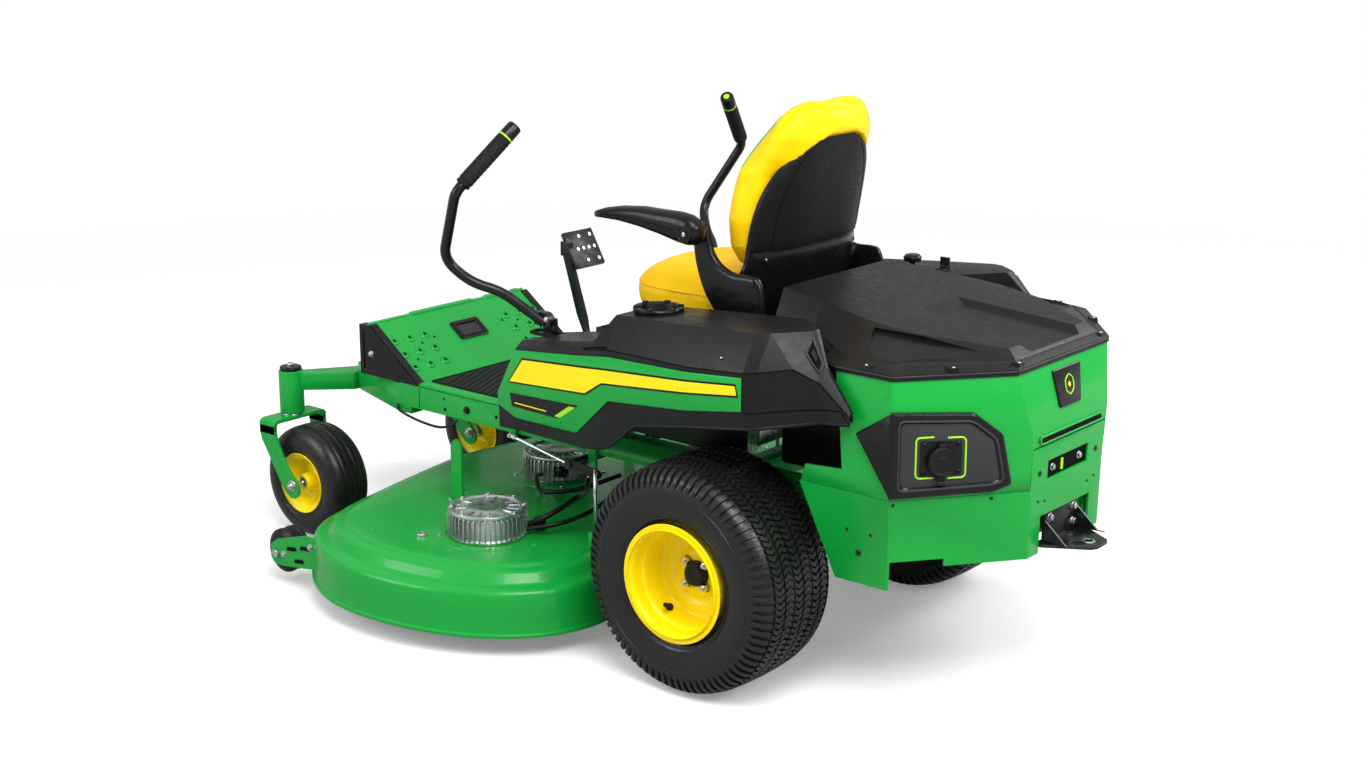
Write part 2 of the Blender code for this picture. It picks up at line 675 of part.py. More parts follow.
# --------------------------------------------------- fenders, side panels
# y, inner x, inner wall foot z, top z, outer top x, crease x, crease z, foot z
FENDER = [
    (-0.640, 0.287, 0.452, 0.545, 0.388, 0.3955, 0.537, 0.447),
    (-0.572, 0.287, 0.452, 0.660, 0.384, 0.4040, 0.648, 0.452),
    (-0.340, 0.287, 0.560, 0.700, 0.424, 0.4420, 0.686, 0.464),
    (-0.315, 0.287, 0.600, 0.706, 0.427, 0.4450, 0.692, 0.468),
    (-0.255, 0.287, 0.690, 0.772, 0.422, 0.4520, 0.700, 0.482),
    (-0.165, 0.287, 0.700, 0.779, 0.434, 0.4680, 0.706, 0.550),
    (0.000, 0.287, 0.720, 0.791, 0.455, 0.4960, 0.714, 0.585),
    (0.150, 0.294, 0.735, 0.802, 0.462, 0.5040, 0.727, 0.610),
    (0.180, 0.316, 0.738, 0.804, 0.450, 0.4960, 0.731, 0.614),
    (0.240, 0.368, 0.742, 0.808, 0.395, 0.4560, 0.741, 0.624),
    (0.286, 0.4010, 0.680, 0.745, 0.412, 0.4290, 0.715, 0.632),
    (0.352, 0.4050, 0.641, 0.662, 0.413, 0.4190, 0.655, 0.637),
]
TOP_Z, CREASE_X = 3, 5            # fender columns
FENDER_WALL = 0.005
SIDE_PANEL = [                    # y, bottom z, top z
    (-0.6385, 0.500, 0.530), (-0.575, 0.480, 0.640), (-0.355, 0.494, 0.670),
    (-0.250, 0.588, 0.686), (0.000, 0.622, 0.704), (0.150, 0.648, 0.718),
]
CUP_CENTRE = (0.352, -0.195, 0.0)
CUP_HOLDER = [                    # z, radius
    (0.705, 0.0), (0.705, 0.0455), (0.7825, 0.0455), (0.7825, 0.056), (0.7865, 0.054),
    (0.7865, 0.0405), (0.710, 0.0395), (0.710, 0.0),
]
KEY_X, KEY_Y = -0.360, 0.080
KNOB_X, KNOB_Y = -0.360, -0.010
SWITCH_CLEARANCE = 0.0012         # key and knob above the fender top
KEY_BODY = [                      # height, radius
    (0.0, 0.0), (0.0, 0.013), (0.006, 0.013), (0.007, 0.008), (0.007, 0.0),
]
KNOB_BODY = [                     # height, radius
    (0.0, 0.0), (0.0, 0.007), (0.008, 0.007), (0.010, 0.020), (0.020, 0.022), (0.026, 0.016),
    (0.026, 0.0),
]


def fender_ring(y, inner_x, inner_foot, top, top_x, crease_x, crease_z, foot):
    wall = FENDER_WALL
    inside_x = inner_x + wall * 0.7
    outer = [(inner_x, inner_foot), (inner_x, top), (top_x, top), (crease_x, crease_z),
             (crease_x, foot)]
    inner = [(crease_x - wall, foot), (crease_x - wall, crease_z - wall),
             (top_x - wall * 0.8, top - wall), (inside_x, top - wall), (inside_x, inner_foot)]
    return [(x, y, z) for x, z in outer + inner]


def fenders():
    """Both have a lever slot; only the left one has a cup hole."""
    fender = loft([fender_ring(*row) for row in FENDER])
    front_wall = box(0.290, 0.393, -0.6400, -0.6340, 0.4530, 0.5410)
    slot = box(0.2960, 0.3480, -0.605, -0.515, 0.600, 0.760)
    cup_hole = cylinder(0.600, 0.900, 0.0480, CUP_CENTRE, "z", 24)
    piece("fender_left", fender, "plastic_black", add=[front_wall], cut=[slot, cup_hole])
    piece("fender_right", mirrored(fender), "plastic_black", add=[mirrored(front_wall)],
          cut=[mirrored(slot)])


def side_panels():
    """Thin panels over the outer faces of the fenders."""
    rings = []
    for y, low, high in SIDE_PANEL:
        inner = interpolate(FENDER, y, CREASE_X) + 0.0008
        outer = inner + 0.004
        rings.append([(inner, y, low), (outer, y, low), (outer, y, high), (inner, y, high)])
    pair("side_panel", loft(rings), "paint_green")


def cup_holder():
    piece("cup_holder", turned(CUP_HOLDER, CUP_CENTRE, "z", 20), "plastic_black")


def control_display():
    piece("control_display", box(-0.2862, -0.2810, -0.115, 0.115, 0.742, 0.784),
          "plastic_black", bevel=0.0015)


def key_switch():
    base = interpolate(FENDER, KEY_Y, TOP_Z) + SWITCH_CLEARANCE
    pivot = (KEY_X, KEY_Y, base)
    piece("key_switch", turned(KEY_BODY, pivot, "z", 16), "steel_black",
          add=[box(KEY_X - 0.003, KEY_X + 0.003, KEY_Y - 0.012, KEY_Y + 0.012,
                   base + 0.004, base + 0.026)],
          pivot=pivot)


def pto_knob():
    # The fender top rises rearwards, so the height is taken behind the knob.
    base = interpolate(FENDER, KNOB_Y + 0.03, TOP_Z) + SWITCH_CLEARANCE
    pivot = (KNOB_X, KNOB_Y, base)
    piece("pto_knob", turned(KNOB_BODY, pivot, "z", 20), "paint_yellow", pivot=pivot)


# ----------------------------------------------------------- control levers
LEVER_PLATE = [                   # y, z
    (-0.585, 0.612), (-0.572, 0.605), (-0.548, 0.605), (-0.535, 0.612), (-0.540, 0.700),
    (-0.580, 0.700),
]
LEVER_BASE = [                    # y, z
    (-0.586, 0.6848), (-0.540, 0.6848), (-0.535, 0.700), (-0.548, 0.716), (-0.588, 0.716),
    (-0.592, 0.700),
]
LEVER_PATH = [                    # x, y, z
    (0.324, -0.560, 0.690), (0.352, -0.600, 0.727), (0.388, -0.635, 0.765),
    (0.429, -0.690, 0.785), (0.469, -0.735, 0.839), (0.517, -0.642, 1.006),
    (0.386, -0.591, 1.137),
]
LEVER_BENDS = (0.04, 0.04, 0.04, 0.05, 0.022)  # cut-back at each inner point


def lever_brackets():
    boss = cylinder(0.306, 0.3100, 0.010, (0.0, LEVER_OUT_AXIS.y, LEVER_OUT_AXIS.z), "x", 10)
    pair("lever_bracket", prism(LEVER_PLATE, 0.3000, 0.3080, "x"), "steel_black", add=[boss],
         pivot=LEVER_AXIS)


def levers():
    path = rounded_path(LEVER_PATH, LEVER_BENDS, 3)
    pair("lever", sweep(path, 0.0115, 8), "steel_black",
         add=[prism(LEVER_BASE, 0.3112, 0.3300, "x")], pivot=LEVER_OUT_AXIS)


def grips():
    """A sleeve, open at its lower end, over the last straight stretch of the lever."""
    below, tip = Vector(LEVER_PATH[-2]), Vector(LEVER_PATH[-1])
    along = (tip - below).normalized()
    start, end = tip - along * 0.168, tip + along * 0.012
    side = along.orthogonal().normalized()
    up = along.cross(side)
    length = (end - start).length

    def tube(stations):
        """A loft through (distance from the start, radius)."""
        return loft([circle(start + along * distance, radius, side, up, 10)
                     for distance, radius in stations])

    sleeve = tube([(0.0, 0.0165), (0.006, 0.0185), (length - 0.008, 0.0185), (length, 0.0150)])
    bore = tube([(-0.02, 0.0122), (length - 0.0112, 0.0122)])
    pair("grip", sleeve, "foam", cut=[bore], pivot=LEVER_OUT_AXIS)


# --------------------------------------------------- deck lift and pedal
PEDAL_X = (-0.206, -0.194)
PEDAL_ARM = [                     # rear edge y, z, then front edge y, z
    (-0.893, 0.492, -0.907, 0.508),
    (-0.905, 0.560, -0.935, 0.566),
    (-0.962, 0.730, -0.990, 0.742),
]
PEDAL_PAD = [(-0.985, 0.770), (-0.978, 0.776), (-0.928, 0.690), (-0.934, 0.684)]  # y, z


def deck_lift_pedal():
    right, left = PEDAL_X
    arm = loft([[(right, rear_y, rear_z), (left, rear_y, rear_z),
                 (left, front_y, front_z), (right, front_y, front_z)]
                for rear_y, rear_z, front_y, front_z in PEDAL_ARM])
    boss = cylinder(-0.2155, -0.1845, 0.014, (0.0, PEDAL_PIVOT.y, PEDAL_PIVOT.z), "x", 14)
    piece("deck_lift_pedal", arm, "steel_black",
          add=[boss, prism(PEDAL_PAD, -0.300, -0.190, "x"),
               box(right, left, -0.990, -0.955, 0.715, 0.752)],
          pivot=PEDAL_PIVOT)


def lift_shaft():
    root_y = LIFT_SHAFT.y - 0.012
    arm = prism([(root_y, LIFT_SHAFT.z + 0.012), (root_y, LIFT_SHAFT.z - 0.012),
                 (LIFT_END_Y, LIFT_END_Z - 0.010), (LIFT_END_Y + 0.008, LIFT_END_Z),
                 (LIFT_END_Y, LIFT_END_Z + 0.010)], 0.3320, 0.3400, "x")
    piece("lift_shaft", cylinder(-0.345, 0.345, 0.0105, LIFT_SHAFT, "x", 14), "steel_black",
          add=both(arm), pivot=LIFT_SHAFT)


def lift_links():
    pair("lift_link", sweep([(0.347, LIFT_END_Y, 0.230), (0.347, LIFT_END_Y, 0.385)],
                            0.0055, 10), "steel")


# ---------------------------------------------------------------- the deck
HALF_PLAN = [                     # x, y of the left half, front to rear
    (0.000, -1.212), (0.120, -1.198), (0.260, -1.172), (0.400, -1.142), (0.520, -1.112),
    (0.600, -1.070), (0.655, -1.010), (0.700, -0.930), (0.726, -0.850), (DECK_SIDE, -0.750),
    (0.724, -0.640), (0.692, -0.525), (0.640, -0.430), (0.560, -0.352), (0.470, -0.316),
    (0.380, -0.312), (0.290, -0.340), (0.200, -0.392), (0.100, -0.430), (0.000, -0.440),
]
DECK_PLAN = HALF_PLAN + [(-x, y) for x, y in HALF_PLAN[-2:0:-1]]
DECK_STATIONS = [                 # z, inset: down the inside, round the lip, up the outside
    (DECK_TOP - 0.006, 0.082), (0.155, 0.012),
    (DECK_RIM, 0.006), (DECK_RIM, -DECK_LIP), (DECK_RIM + 0.010, -DECK_LIP),
    (DECK_RIM + 0.012, 0.0), (0.160, 0.006), (DECK_TOP, 0.080),
]
SCALP_PLATE = [                   # y, z
    (-1.186, 0.066), (-1.186, 0.096), (-1.160, 0.112), (-1.020, 0.148), (-1.010, 0.070),
    (-1.150, 0.052), (-1.176, 0.054),
]
SCALP_AXLE = [                    # x, radius
    (0.566, 0.0), (0.566, 0.010), (0.5690, 0.010), (0.5690, 0.0060), (0.6370, 0.0060),
    (0.6370, 0.010), (0.6480, 0.010), (0.6480, 0.0),
]
SCALP_WHEEL = with_mirror([(-0.0295, 0.0068), (-0.0295, 0.046), (-0.022, SCALP_R)])
DECK_MOTOR = [                    # z, radius
    (DECK_TOP + GAP, 0.0), (DECK_TOP + GAP, 0.082), (DECK_TOP + 0.010, 0.090),
    (MOTOR_TOP - 0.012, MOTOR_R), (MOTOR_TOP, MOTOR_R), (MOTOR_TOP, 0.0),
]
HALF_BLADE = [(-BLADE_R, -0.026), (-0.150, -0.030), (0.150, -0.030), (BLADE_R, -0.010)]  # x, y
BLADE_SPINDLE = [                 # z, radius
    (0.078, 0.0), (0.078, 0.018), (0.110, 0.018), (0.110, 0.030), (0.120, 0.030),
    (0.124, 0.016), (DECK_TOP - 0.001, 0.016), (DECK_TOP - 0.001, 0.0),
]
CHUTE_SKIN = [                    # x, z
    (-0.7440, 0.1760), (-0.800, 0.1700), (-0.880, 0.1300), (-0.935, 0.0860),
    (CHUTE_TIP, 0.0900), (-0.884, 0.1360), (-0.802, 0.1765), (-0.7440, 0.1825),
]
CHUTE_CHEEK = [                   # x, z
    (-0.7480, 0.1780), (-0.802, 0.1720), (-0.882, 0.1320), (-0.936, 0.0870),
    (-0.930, 0.0720), (-0.760, 0.0720),
]


def deck_ring(z, inset):
    """The deck plan moved inwards, corner by corner."""
    ring = []
    n = len(DECK_PLAN)
    for i, (x, y) in enumerate(DECK_PLAN):
        before, after = DECK_PLAN[i - 1], DECK_PLAN[(i + 1) % n]
        tangent = Vector((after[0] - before[0], after[1] - before[1])).normalized()
        ring.append((x - tangent.y * inset, y + tangent.x * inset, z))
    return ring


def deck_shell():
    """A thin shell open below, with its hangers, lift lugs and wheel mounts."""
    bores = [cylinder(0.150, 0.250, 0.020, (x, y, 0.0), "z", 16) for x, y in SPINDLES.values()]
    hanger = box(0.318, 0.324, -0.881, -0.845, 0.186, 0.358)
    lug = box(0.3385, 0.3555, LIFT_END_Y - 0.016, LIFT_END_Y + 0.016, 0.170, 0.2290)
    scalp_plate = prism(SCALP_PLATE, 0.6350, 0.6410, "x")
    scalp_axle = turned(SCALP_AXLE, (0.0, SCALP.y, SCALP.z), "x", 10)
    chute_lugs = [box(-0.7520, -0.640, -0.9660, -0.9580, 0.1520, 0.1820),
                  box(-0.7520, -0.620, -0.4720, -0.4640, 0.1520, 0.1820)]
    side_opening = box(-0.800, -0.690, -0.930, -0.500, 0.070, 0.138)
    piece("deck_shell", loft([deck_ring(*row) for row in DECK_STATIONS]), "paint_green",
          add=[*both(hanger), *both(lug), scalp_plate, scalp_axle,
               mirrored(scalp_plate), mirrored(scalp_axle), *chute_lugs],
          cut=[*bores, side_opening], smooth=30)


def deck_motors_and_blades():
    for tag, (x, y) in SPINDLES.items():
        piece("deck_motor_" + tag, turned(DECK_MOTOR, (x, y, 0.0), "z", 24), "aluminium")
        # The other half of the blade is the first one turned half a turn.
        blade = [(x + sign * dx, y + sign * dy) for sign in (1, -1) for dx, dy in HALF_BLADE]
        piece("blade_" + tag, prism(blade, 0.088, 0.093), "steel",
              add=[turned(BLADE_SPINDLE, (x, y, 0.0), "z", 10)], pivot=(x, y, 0.09))


def scalp_wheels():
    pair("scalp_wheel", turned(SCALP_WHEEL, SCALP, "x", 16, ring=True), "plastic_black",
         pivot=SCALP)


def discharge_chute():
    """A curved skin on the right side with a cheek at each end."""
    cheeks = [prism(CHUTE_CHEEK, front, rear, "y")
              for front, rear in ((-0.955, -0.950), (-0.480, -0.475))]
    piece("discharge_chute", prism(CHUTE_SKIN, -0.955, -0.475, "y"), "plastic_black",
          add=cheeks, pivot=CHUTE_AXIS)


# ------------------------------------------------------------------- build
for stale in list(bpy.data.objects):
    bpy.data.objects.remove(stale, do_unlink=True)
MATERIALS = {name: make_material(name, *values) for name, values in COLOURS.items()}
ROOT = bpy.data.objects.new("mower_origin", None)
ROOT.location = SHIFT
bpy.context.scene.collection.objects.link(ROOT)

for build in (
    main_frame, front_axle, caster_forks, caster_wheels, rear_wheels, drive_units,
    foot_platform, seat_support, electrics, seat_pan, seat_cushions, seat_back_shell, armrests,
    rear_body_panel, rear_bumper, rear_cover, charge_panel, charge_port_cap, hitch_plate,
    fenders, side_panels, cup_holder, control_display, key_switch, pto_knob,
    lever_brackets, levers, grips, deck_lift_pedal, lift_shaft, lift_links,
    deck_shell, deck_motors_and_blades, scalp_wheels, discharge_chute,
):
    build()
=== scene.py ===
# A battery ride-on mower with two control levers: large rear wheels, front casters, a
# three-blade deck between them, and a yellow seat between two consoles.
# Metres. x = 0 is the centre plane with left at +x, y = 0 the rear axle with the front
# at -y, and z = 0 the ground. The frame's rear tyres give the datum for all of this.
import math
import bpy
import bmesh
import numpy as np
from mathutils import Vector, Matrix
from mathutils.bvhtree import BVHTree


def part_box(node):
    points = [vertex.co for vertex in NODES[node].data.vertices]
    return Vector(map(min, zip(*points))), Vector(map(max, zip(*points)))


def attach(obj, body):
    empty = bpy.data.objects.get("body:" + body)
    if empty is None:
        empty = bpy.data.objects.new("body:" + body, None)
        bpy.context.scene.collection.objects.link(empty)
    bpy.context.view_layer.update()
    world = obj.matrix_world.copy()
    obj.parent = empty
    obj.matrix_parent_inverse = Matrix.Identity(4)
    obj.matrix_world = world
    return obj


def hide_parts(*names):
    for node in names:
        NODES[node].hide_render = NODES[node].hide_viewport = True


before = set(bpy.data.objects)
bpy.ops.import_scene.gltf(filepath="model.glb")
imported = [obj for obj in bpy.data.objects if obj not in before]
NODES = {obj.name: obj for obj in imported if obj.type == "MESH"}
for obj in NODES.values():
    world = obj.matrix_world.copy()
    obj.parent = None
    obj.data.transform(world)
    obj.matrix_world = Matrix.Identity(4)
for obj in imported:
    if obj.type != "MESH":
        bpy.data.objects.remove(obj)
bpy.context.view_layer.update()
SIDES = ("left", "right")
X_AXIS, Y_AXIS, UP = (1, 0, 0), (0, 1, 0), (0, 0, 1)

# ------------------------------------------------------------------- datum
left_tyre, right_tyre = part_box("rear_tyre_left"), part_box("rear_tyre_right")
DATUM_X = (left_tyre[0].x + right_tyre[1].x) / 2
DATUM_Y = (left_tyre[0].y + left_tyre[1].y) / 2
ORIGIN = Vector((DATUM_X, DATUM_Y, 0))
REAR_RADIUS = (left_tyre[1].z - left_tyre[0].z) / 2
REAR_X = (left_tyre[0].x + left_tyre[1].x) / 2 - DATUM_X
REAR_HALF = (left_tyre[1].x - left_tyre[0].x) / 2
REAR_CENTRE = Vector((REAR_X, 0, REAR_RADIUS))


def local(node):
    """A node's box, measured from the datum."""
    low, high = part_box(node)
    return low - ORIGIN, high - ORIGIN


def centre(node):
    low, high = local(node)
    return (low + high) / 2


# --------------------------------------------------------------- materials
def feed(tree, node, inputs):
    """Gives each input a value, or a link when it is a socket."""
    for key, value in inputs.items():
        if isinstance(value, bpy.types.NodeSocket):
            tree.links.new(value, node.inputs[key])
        else:
            node.inputs[key].default_value = value


def add_node(tree, kind, inputs={}, **settings):
    node = tree.nodes.new("ShaderNode" + kind)
    for key, value in settings.items():
        setattr(node, key, value)
    feed(tree, node, inputs)
    return node


def finish(name, base, rough, metal=0, vary=.12, vary_scale=9, rough_vary=.08, bump=.1,
           bump_scale=900, grain="noise", coat=0, coat_rough=.08, wear=0,
           wear_colour=(.5, .5, .5), dust=0, spec=.5, stretch=None):
    """Mottled colour, uneven gloss, a grain in the bump, worn edges, dust low down."""
    material = bpy.data.materials.new(name)
    material.use_nodes = True
    tree = material.node_tree

    def noise(scale, detail, vector):
        inputs = {"Vector": vector, "Scale": scale, "Detail": detail}
        return add_node(tree, "TexNoise", inputs).outputs["Fac"]

    def blend(factor, under, over):
        inputs = {"Factor": factor, "A": under, "B": over}
        return add_node(tree, "Mix", inputs, data_type="RGBA").outputs["Result"]

    def ramp(value, start, end, low, high):
        inputs = {"Value": value, "From Min": start, "From Max": end,
                  "To Min": low, "To Max": high}
        return add_node(tree, "MapRange", inputs).outputs["Result"]

    def cover_with(amount, over):
        """The colour so far, covered by another one in fine patches."""
        patches = add_node(tree, "Math", {0: amount, 1: fine}, operation="MULTIPLY")
        return blend(patches.outputs["Value"], colour, (*over, 1))

    place = add_node(tree, "TexCoord").outputs["Object"]
    colour = blend(noise(vary_scale, 5, place), (*[c * (1 - vary) for c in base], 1),
                   (*[min(1, c * (1 + vary)) for c in base], 1))
    fine = noise(vary_scale * 7, 6, place)
    gloss = ramp(fine, .3, .7, max(.02, rough - rough_vary), min(1, rough + rough_vary))
    if wear > 0:
        edges = add_node(tree, "NewGeometry").outputs["Pointiness"]
        colour = cover_with(ramp(edges, .535, .60, 0, wear), wear_colour)
    if dust > 0:
        height = add_node(tree, "SeparateXYZ", {"Vector": place}).outputs["Z"]
        colour = cover_with(ramp(height, .45, 0, 0, dust), (.16, .14, .11))
    if stretch:
        mapping = add_node(tree, "Mapping", {"Vector": place, "Scale": stretch})
        place = mapping.outputs["Vector"]
    if grain == "noise":
        relief = noise(bump_scale, 3, place)
    else:
        cells = add_node(tree, "TexVoronoi", {"Vector": place, "Scale": bump_scale},
                         feature="DISTANCE_TO_EDGE" if grain == "cells" else "F1")
        relief = cells.outputs["Distance"]
    bumps = add_node(tree, "Bump", {"Height": relief, "Strength": bump, "Distance": .0006})
    feed(tree, tree.nodes["Principled BSDF"], {
        "Base Color": colour, "Roughness": gloss, "Metallic": metal,
        "Specular IOR Level": spec, "Coat Weight": coat, "Coat Roughness": coat_rough,
        "Normal": bumps.outputs["Normal"]})
    return material


FINISHES = {
    "paint_green": dict(
        base=(.003, .33, .04), rough=.3, vary=.06, vary_scale=3, rough_vary=.05, bump=.04,
        bump_scale=420, coat=.2, coat_rough=.045, wear=.12, wear_colour=(.03, .36, .07),
        dust=.03, spec=.24),
    "paint_yellow": dict(
        base=(1, .76, .0006), rough=.32, vary=.03, bump=.05, bump_scale=420, coat=.1,
        spec=.25, wear=.2, wear_colour=(.9, .62, .1), dust=.04),
    "vinyl_yellow": dict(
        base=(.97, .59, .0004), rough=.42, vary=.03, vary_scale=6, bump=.18,
        bump_scale=620, grain="cells", rough_vary=.06, spec=.15),
    "plastic_black": dict(
        base=(.0052, .0052, .0058), rough=.38, vary=.16, bump=.2, bump_scale=1500,
        wear=.3, wear_colour=(.03, .03, .033), rough_vary=.07, spec=.24),
    "plastic_grey": dict(
        base=(.028, .029, .032), rough=.4, vary=.14, bump=.22, bump_scale=1500, wear=.3,
        wear_colour=(.08, .08, .09), spec=.3),
    "gloss_black": dict(
        base=(.004, .004, .0046), rough=.26, bump_scale=700, coat=.06, wear=.2,
        wear_colour=(.02, .02, .02), spec=.24),
    "steel_black": dict(
        base=(.005, .005, .0056), rough=.3, metal=.05, vary=.2, bump=.08, bump_scale=400,
        coat=.08, wear=.4, wear_colour=(.08, .08, .09), spec=.3),
    "rubber": dict(
        base=(.006, .006, .0064), rough=.66, vary=.25, bump=.5, grain="pores", spec=.22),
    "tyre": dict(
        base=(.0062, .0062, .0066), rough=.34, vary=.22, vary_scale=14, bump=.2,
        bump_scale=700, rough_vary=.12, wear=.3, wear_colour=(.022, .021, .02),
        dust=.015, spec=.4),
    "aluminium": dict(
        base=(.6, .61, .63), rough=.33, metal=1, bump=.22, bump_scale=520, rough_vary=.1,
        wear=.3, wear_colour=(.85, .85, .86)),
    "steel": dict(
        base=(.55, .56, .58), rough=.25, metal=1, bump_scale=300, stretch=(1, 1, 6),
        wear=.3, wear_colour=(.85, .85, .86)),
    "lime": dict(base=(.33, .74, .02), rough=.38, vary=.05, bump=.06, spec=.3),
    "decal_yellow": dict(
        base=(1, .76, .0006), rough=.3, vary=.02, bump=.03, coat=.08, spec=.25),
    "decal_black": dict(
        base=(.004, .004, .0044), rough=.34, vary=.1, bump=.03, coat=.05, spec=.22),
    # near black; also used as painted shade inside holes, slots, recesses and grooves
    "dark": dict(base=(.002, .002, .002), rough=.8, vary=.3, bump=.2, spec=.1),
    "cable": dict(
        base=(.005, .005, .0055), rough=.4, vary=.2, bump=.2, bump_scale=300, spec=.3),
    "mat": dict(
        base=(.0055, .0055, .006), rough=.55, vary=.2, bump=.3, bump_scale=500,
        grain="cells", spec=.22),
    "sleeve": dict(
        base=(.0045, .0045, .005), rough=.48, vary=.22, vary_scale=16, bump=.34,
        bump_scale=520, grain="cells", rough_vary=.1, spec=.2),
}
MATERIALS = {name: finish(name, **look) for name, look in FINISHES.items()}


# ------------------------------------------------------------------ shapes
def add_bevel(obj, width, segments, angle):
    bevel = obj.modifiers.new("edge", "BEVEL")
    bevel.width, bevel.segments = width, segments
    bevel.limit_method, bevel.angle_limit = "ANGLE", math.radians(angle)
    return bevel


def shade(mesh, sharp_angle):
    mesh.shade_smooth()
    mesh.set_sharp_from_angle(angle=math.radians(sharp_angle))


class Build:
    """Gathers shapes, each face with its material, into one named piece."""

    def __init__(self):
        self.verts, self.faces, self.face_mats, self.mats = [], [], [], []

    def add(self, verts, faces, mat):
        if mat not in self.mats:
            self.mats.append(mat)
        first = len(self.verts)
        self.verts += [tuple(p) for p in verts]
        self.faces += [[first + i for i in face] for face in faces]
        self.face_mats += [self.mats.index(mat)] * len(faces)

    def rings(self, rings, mat, loop=False):
        """Joins equal rings in order; loop joins the last to the first, else both are capped."""
        size, count = len(rings[0]), len(rings)
        faces = []
        for k in range(count if loop else count - 1):
            here, there = k * size, ((k + 1) % count) * size
            for i in range(size):
                j = (i + 1) % size
                faces.append([here + i, here + j, there + j, there + i])
        if not loop:
            faces.append(list(range(size))[::-1])
            faces.append([(count - 1) * size + i for i in range(size)])
        self.add([p for ring in rings for p in ring], faces, mat)

    def stack(self, place, layers, mat, loop=False):
        """Rings from (outline, height) layers, put in space by place(a, b, height)."""
        self.rings([[place(a, b, height) for a, b in outline] for outline, height in layers],
                   mat, loop)

    def lathe(self, profile, origin, axis, mat, sides=48, loop=False):
        """Turns (distance along the axis, radius) points about the axis."""
        axis, origin = Vector(axis).normalized(), Vector(origin)
        first = axis.orthogonal().normalized()
        if abs(axis.x) > .9:
            first = Vector(Y_AXIS)
        second = axis.cross(first)
        verts, rows = [], []
        for along, radius in profile:
            if radius < 1e-7:
                rows.append([len(verts)])
                verts.append(origin + axis * along)
                continue
            rows.append(list(range(len(verts), len(verts) + sides)))
            for k in range(sides):
                turn = 2 * math.pi * k / sides
                verts.append(origin + axis * along
                             + (first * math.cos(turn) + second * math.sin(turn)) * radius)
        faces = []
        for k in range(len(rows) if loop else len(rows) - 1):
            here, there = rows[k], rows[(k + 1) % len(rows)]
            for i in range(sides):
                j = (i + 1) % sides
                if len(here) == 1 and len(there) > 1:
                    faces.append([here[0], there[j], there[i]])
                elif len(there) == 1 and len(here) > 1:
                    faces.append([here[i], here[j], there[0]])
                elif len(here) > 1:
                    faces.append([here[i], here[j], there[j], there[i]])
        self.add(verts, faces, mat)

    def rod(self, start, end, radius, origin, axis, mat, sides=48):
        """A plain cylinder between two distances along the axis."""
        self.lathe([(start, 0), (start, radius), (end, radius), (end, 0)],
                   origin, axis, mat, sides)

    def tube(self, path, radius, mat, sides=14, loop=False):
        points = [Vector(p) for p in path]
        last = len(points) - 1
        rings, across = [], None
        for k, p in enumerate(points):
            if loop:
                ahead = (points[(k + 1) % len(points)] - points[k - 1]).normalized()
            elif k == 0:
                ahead = (points[1] - p).normalized()
            elif k == last:
                ahead = (p - points[k - 1]).normalized()
            else:
                ahead = ((points[k + 1] - p).normalized()
                         + (p - points[k - 1]).normalized()).normalized()
            if across is None:
                across = ahead.orthogonal().normalized()
            across = (across - ahead * across.dot(ahead)).normalized()
            other = ahead.cross(across)
            turns = [2 * math.pi * i / sides for i in range(sides)]
            rings.append([p + radius * (math.cos(turn) * across + math.sin(turn) * other)
                          for turn in turns])
        self.rings(rings, mat, loop)

    def slab(self, outline, push, mat):
        """A closed outline of 3-D points pushed along a vector."""
        push = Vector(push)
        self.rings([[Vector(p) for p in outline], [Vector(p) + push for p in outline]], mat)

    def plate(self, outline, x, thick, mat):
        """A closed outline of (y, z) at x, pushed sideways by thick."""
        self.slab([(x, y, z) for y, z in outline], (thick, 0, 0), mat)

    def block(self, x_min, x_max, y_min, y_max, z_min, z_max, mat):
        self.slab([(x, y, z_min) for x, y in rect(x_min, x_max, y_min, y_max)],
                  (0, 0, z_max - z_min), mat)

    def bolt(self, at, normal, radius, mat="steel"):
        """A flanged hexagon head."""
        self.lathe([(0, 0), (0, radius * 1.35), (radius * .22, radius * 1.3),
                    (radius * .25, 0)], at, normal, mat, 20)
        self.lathe([(radius * .2, radius * .98), (radius * .85, radius * .98),
                    (radius, radius * .8), (radius, 0)], at, normal, mat, 6)

    def dome(self, at, normal, radius, mat="steel_black"):
        """A round head with a dimple."""
        self.lathe([(radius * along, radius * out) for along, out in
                    ((0, 0), (0, 1), (.25, .92), (.45, .55), (.36, .3), (.2, 0))],
                   at, normal, mat, 18)

    def make(self, name, body, replaces=None, side="", bevel=0, segments=2, smooth=35):
        """Makes the object. A {} in a name stands for the side; the right side is mirrored."""
        name = name.format(side)
        mirror = -1 if side == "right" else 1
        mesh = bpy.data.meshes.new(name)
        mesh.from_pydata([(mirror * x + DATUM_X, y + DATUM_Y, z) for x, y, z in self.verts],
                         [], self.faces)
        for mat in self.mats:
            mesh.materials.append(MATERIALS[mat])
        mesh.polygons.foreach_set("material_index", self.face_mats)
        work = bmesh.new()
        work.from_mesh(mesh)
        bmesh.ops.recalc_face_normals(work, faces=work.faces)
        work.to_mesh(mesh)
        work.free()
        mesh.update()
        obj = bpy.data.objects.new(name, mesh)
        bpy.context.scene.collection.objects.link(obj)
        if bevel:
            add_bevel(obj, bevel, segments, 32)
        shade(mesh, smooth)
        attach(obj, body.format(side))
        if replaces:
            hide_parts(replaces.format(side))
        return obj


def settle(obj):
    """Turns an object's modifiers into its mesh."""
    bpy.context.view_layer.update()
    graph = bpy.context.evaluated_depsgraph_get()
    mesh = bpy.data.meshes.new_from_object(obj.evaluated_get(graph), depsgraph=graph)
    obj.modifiers.clear()
    obj.data = mesh


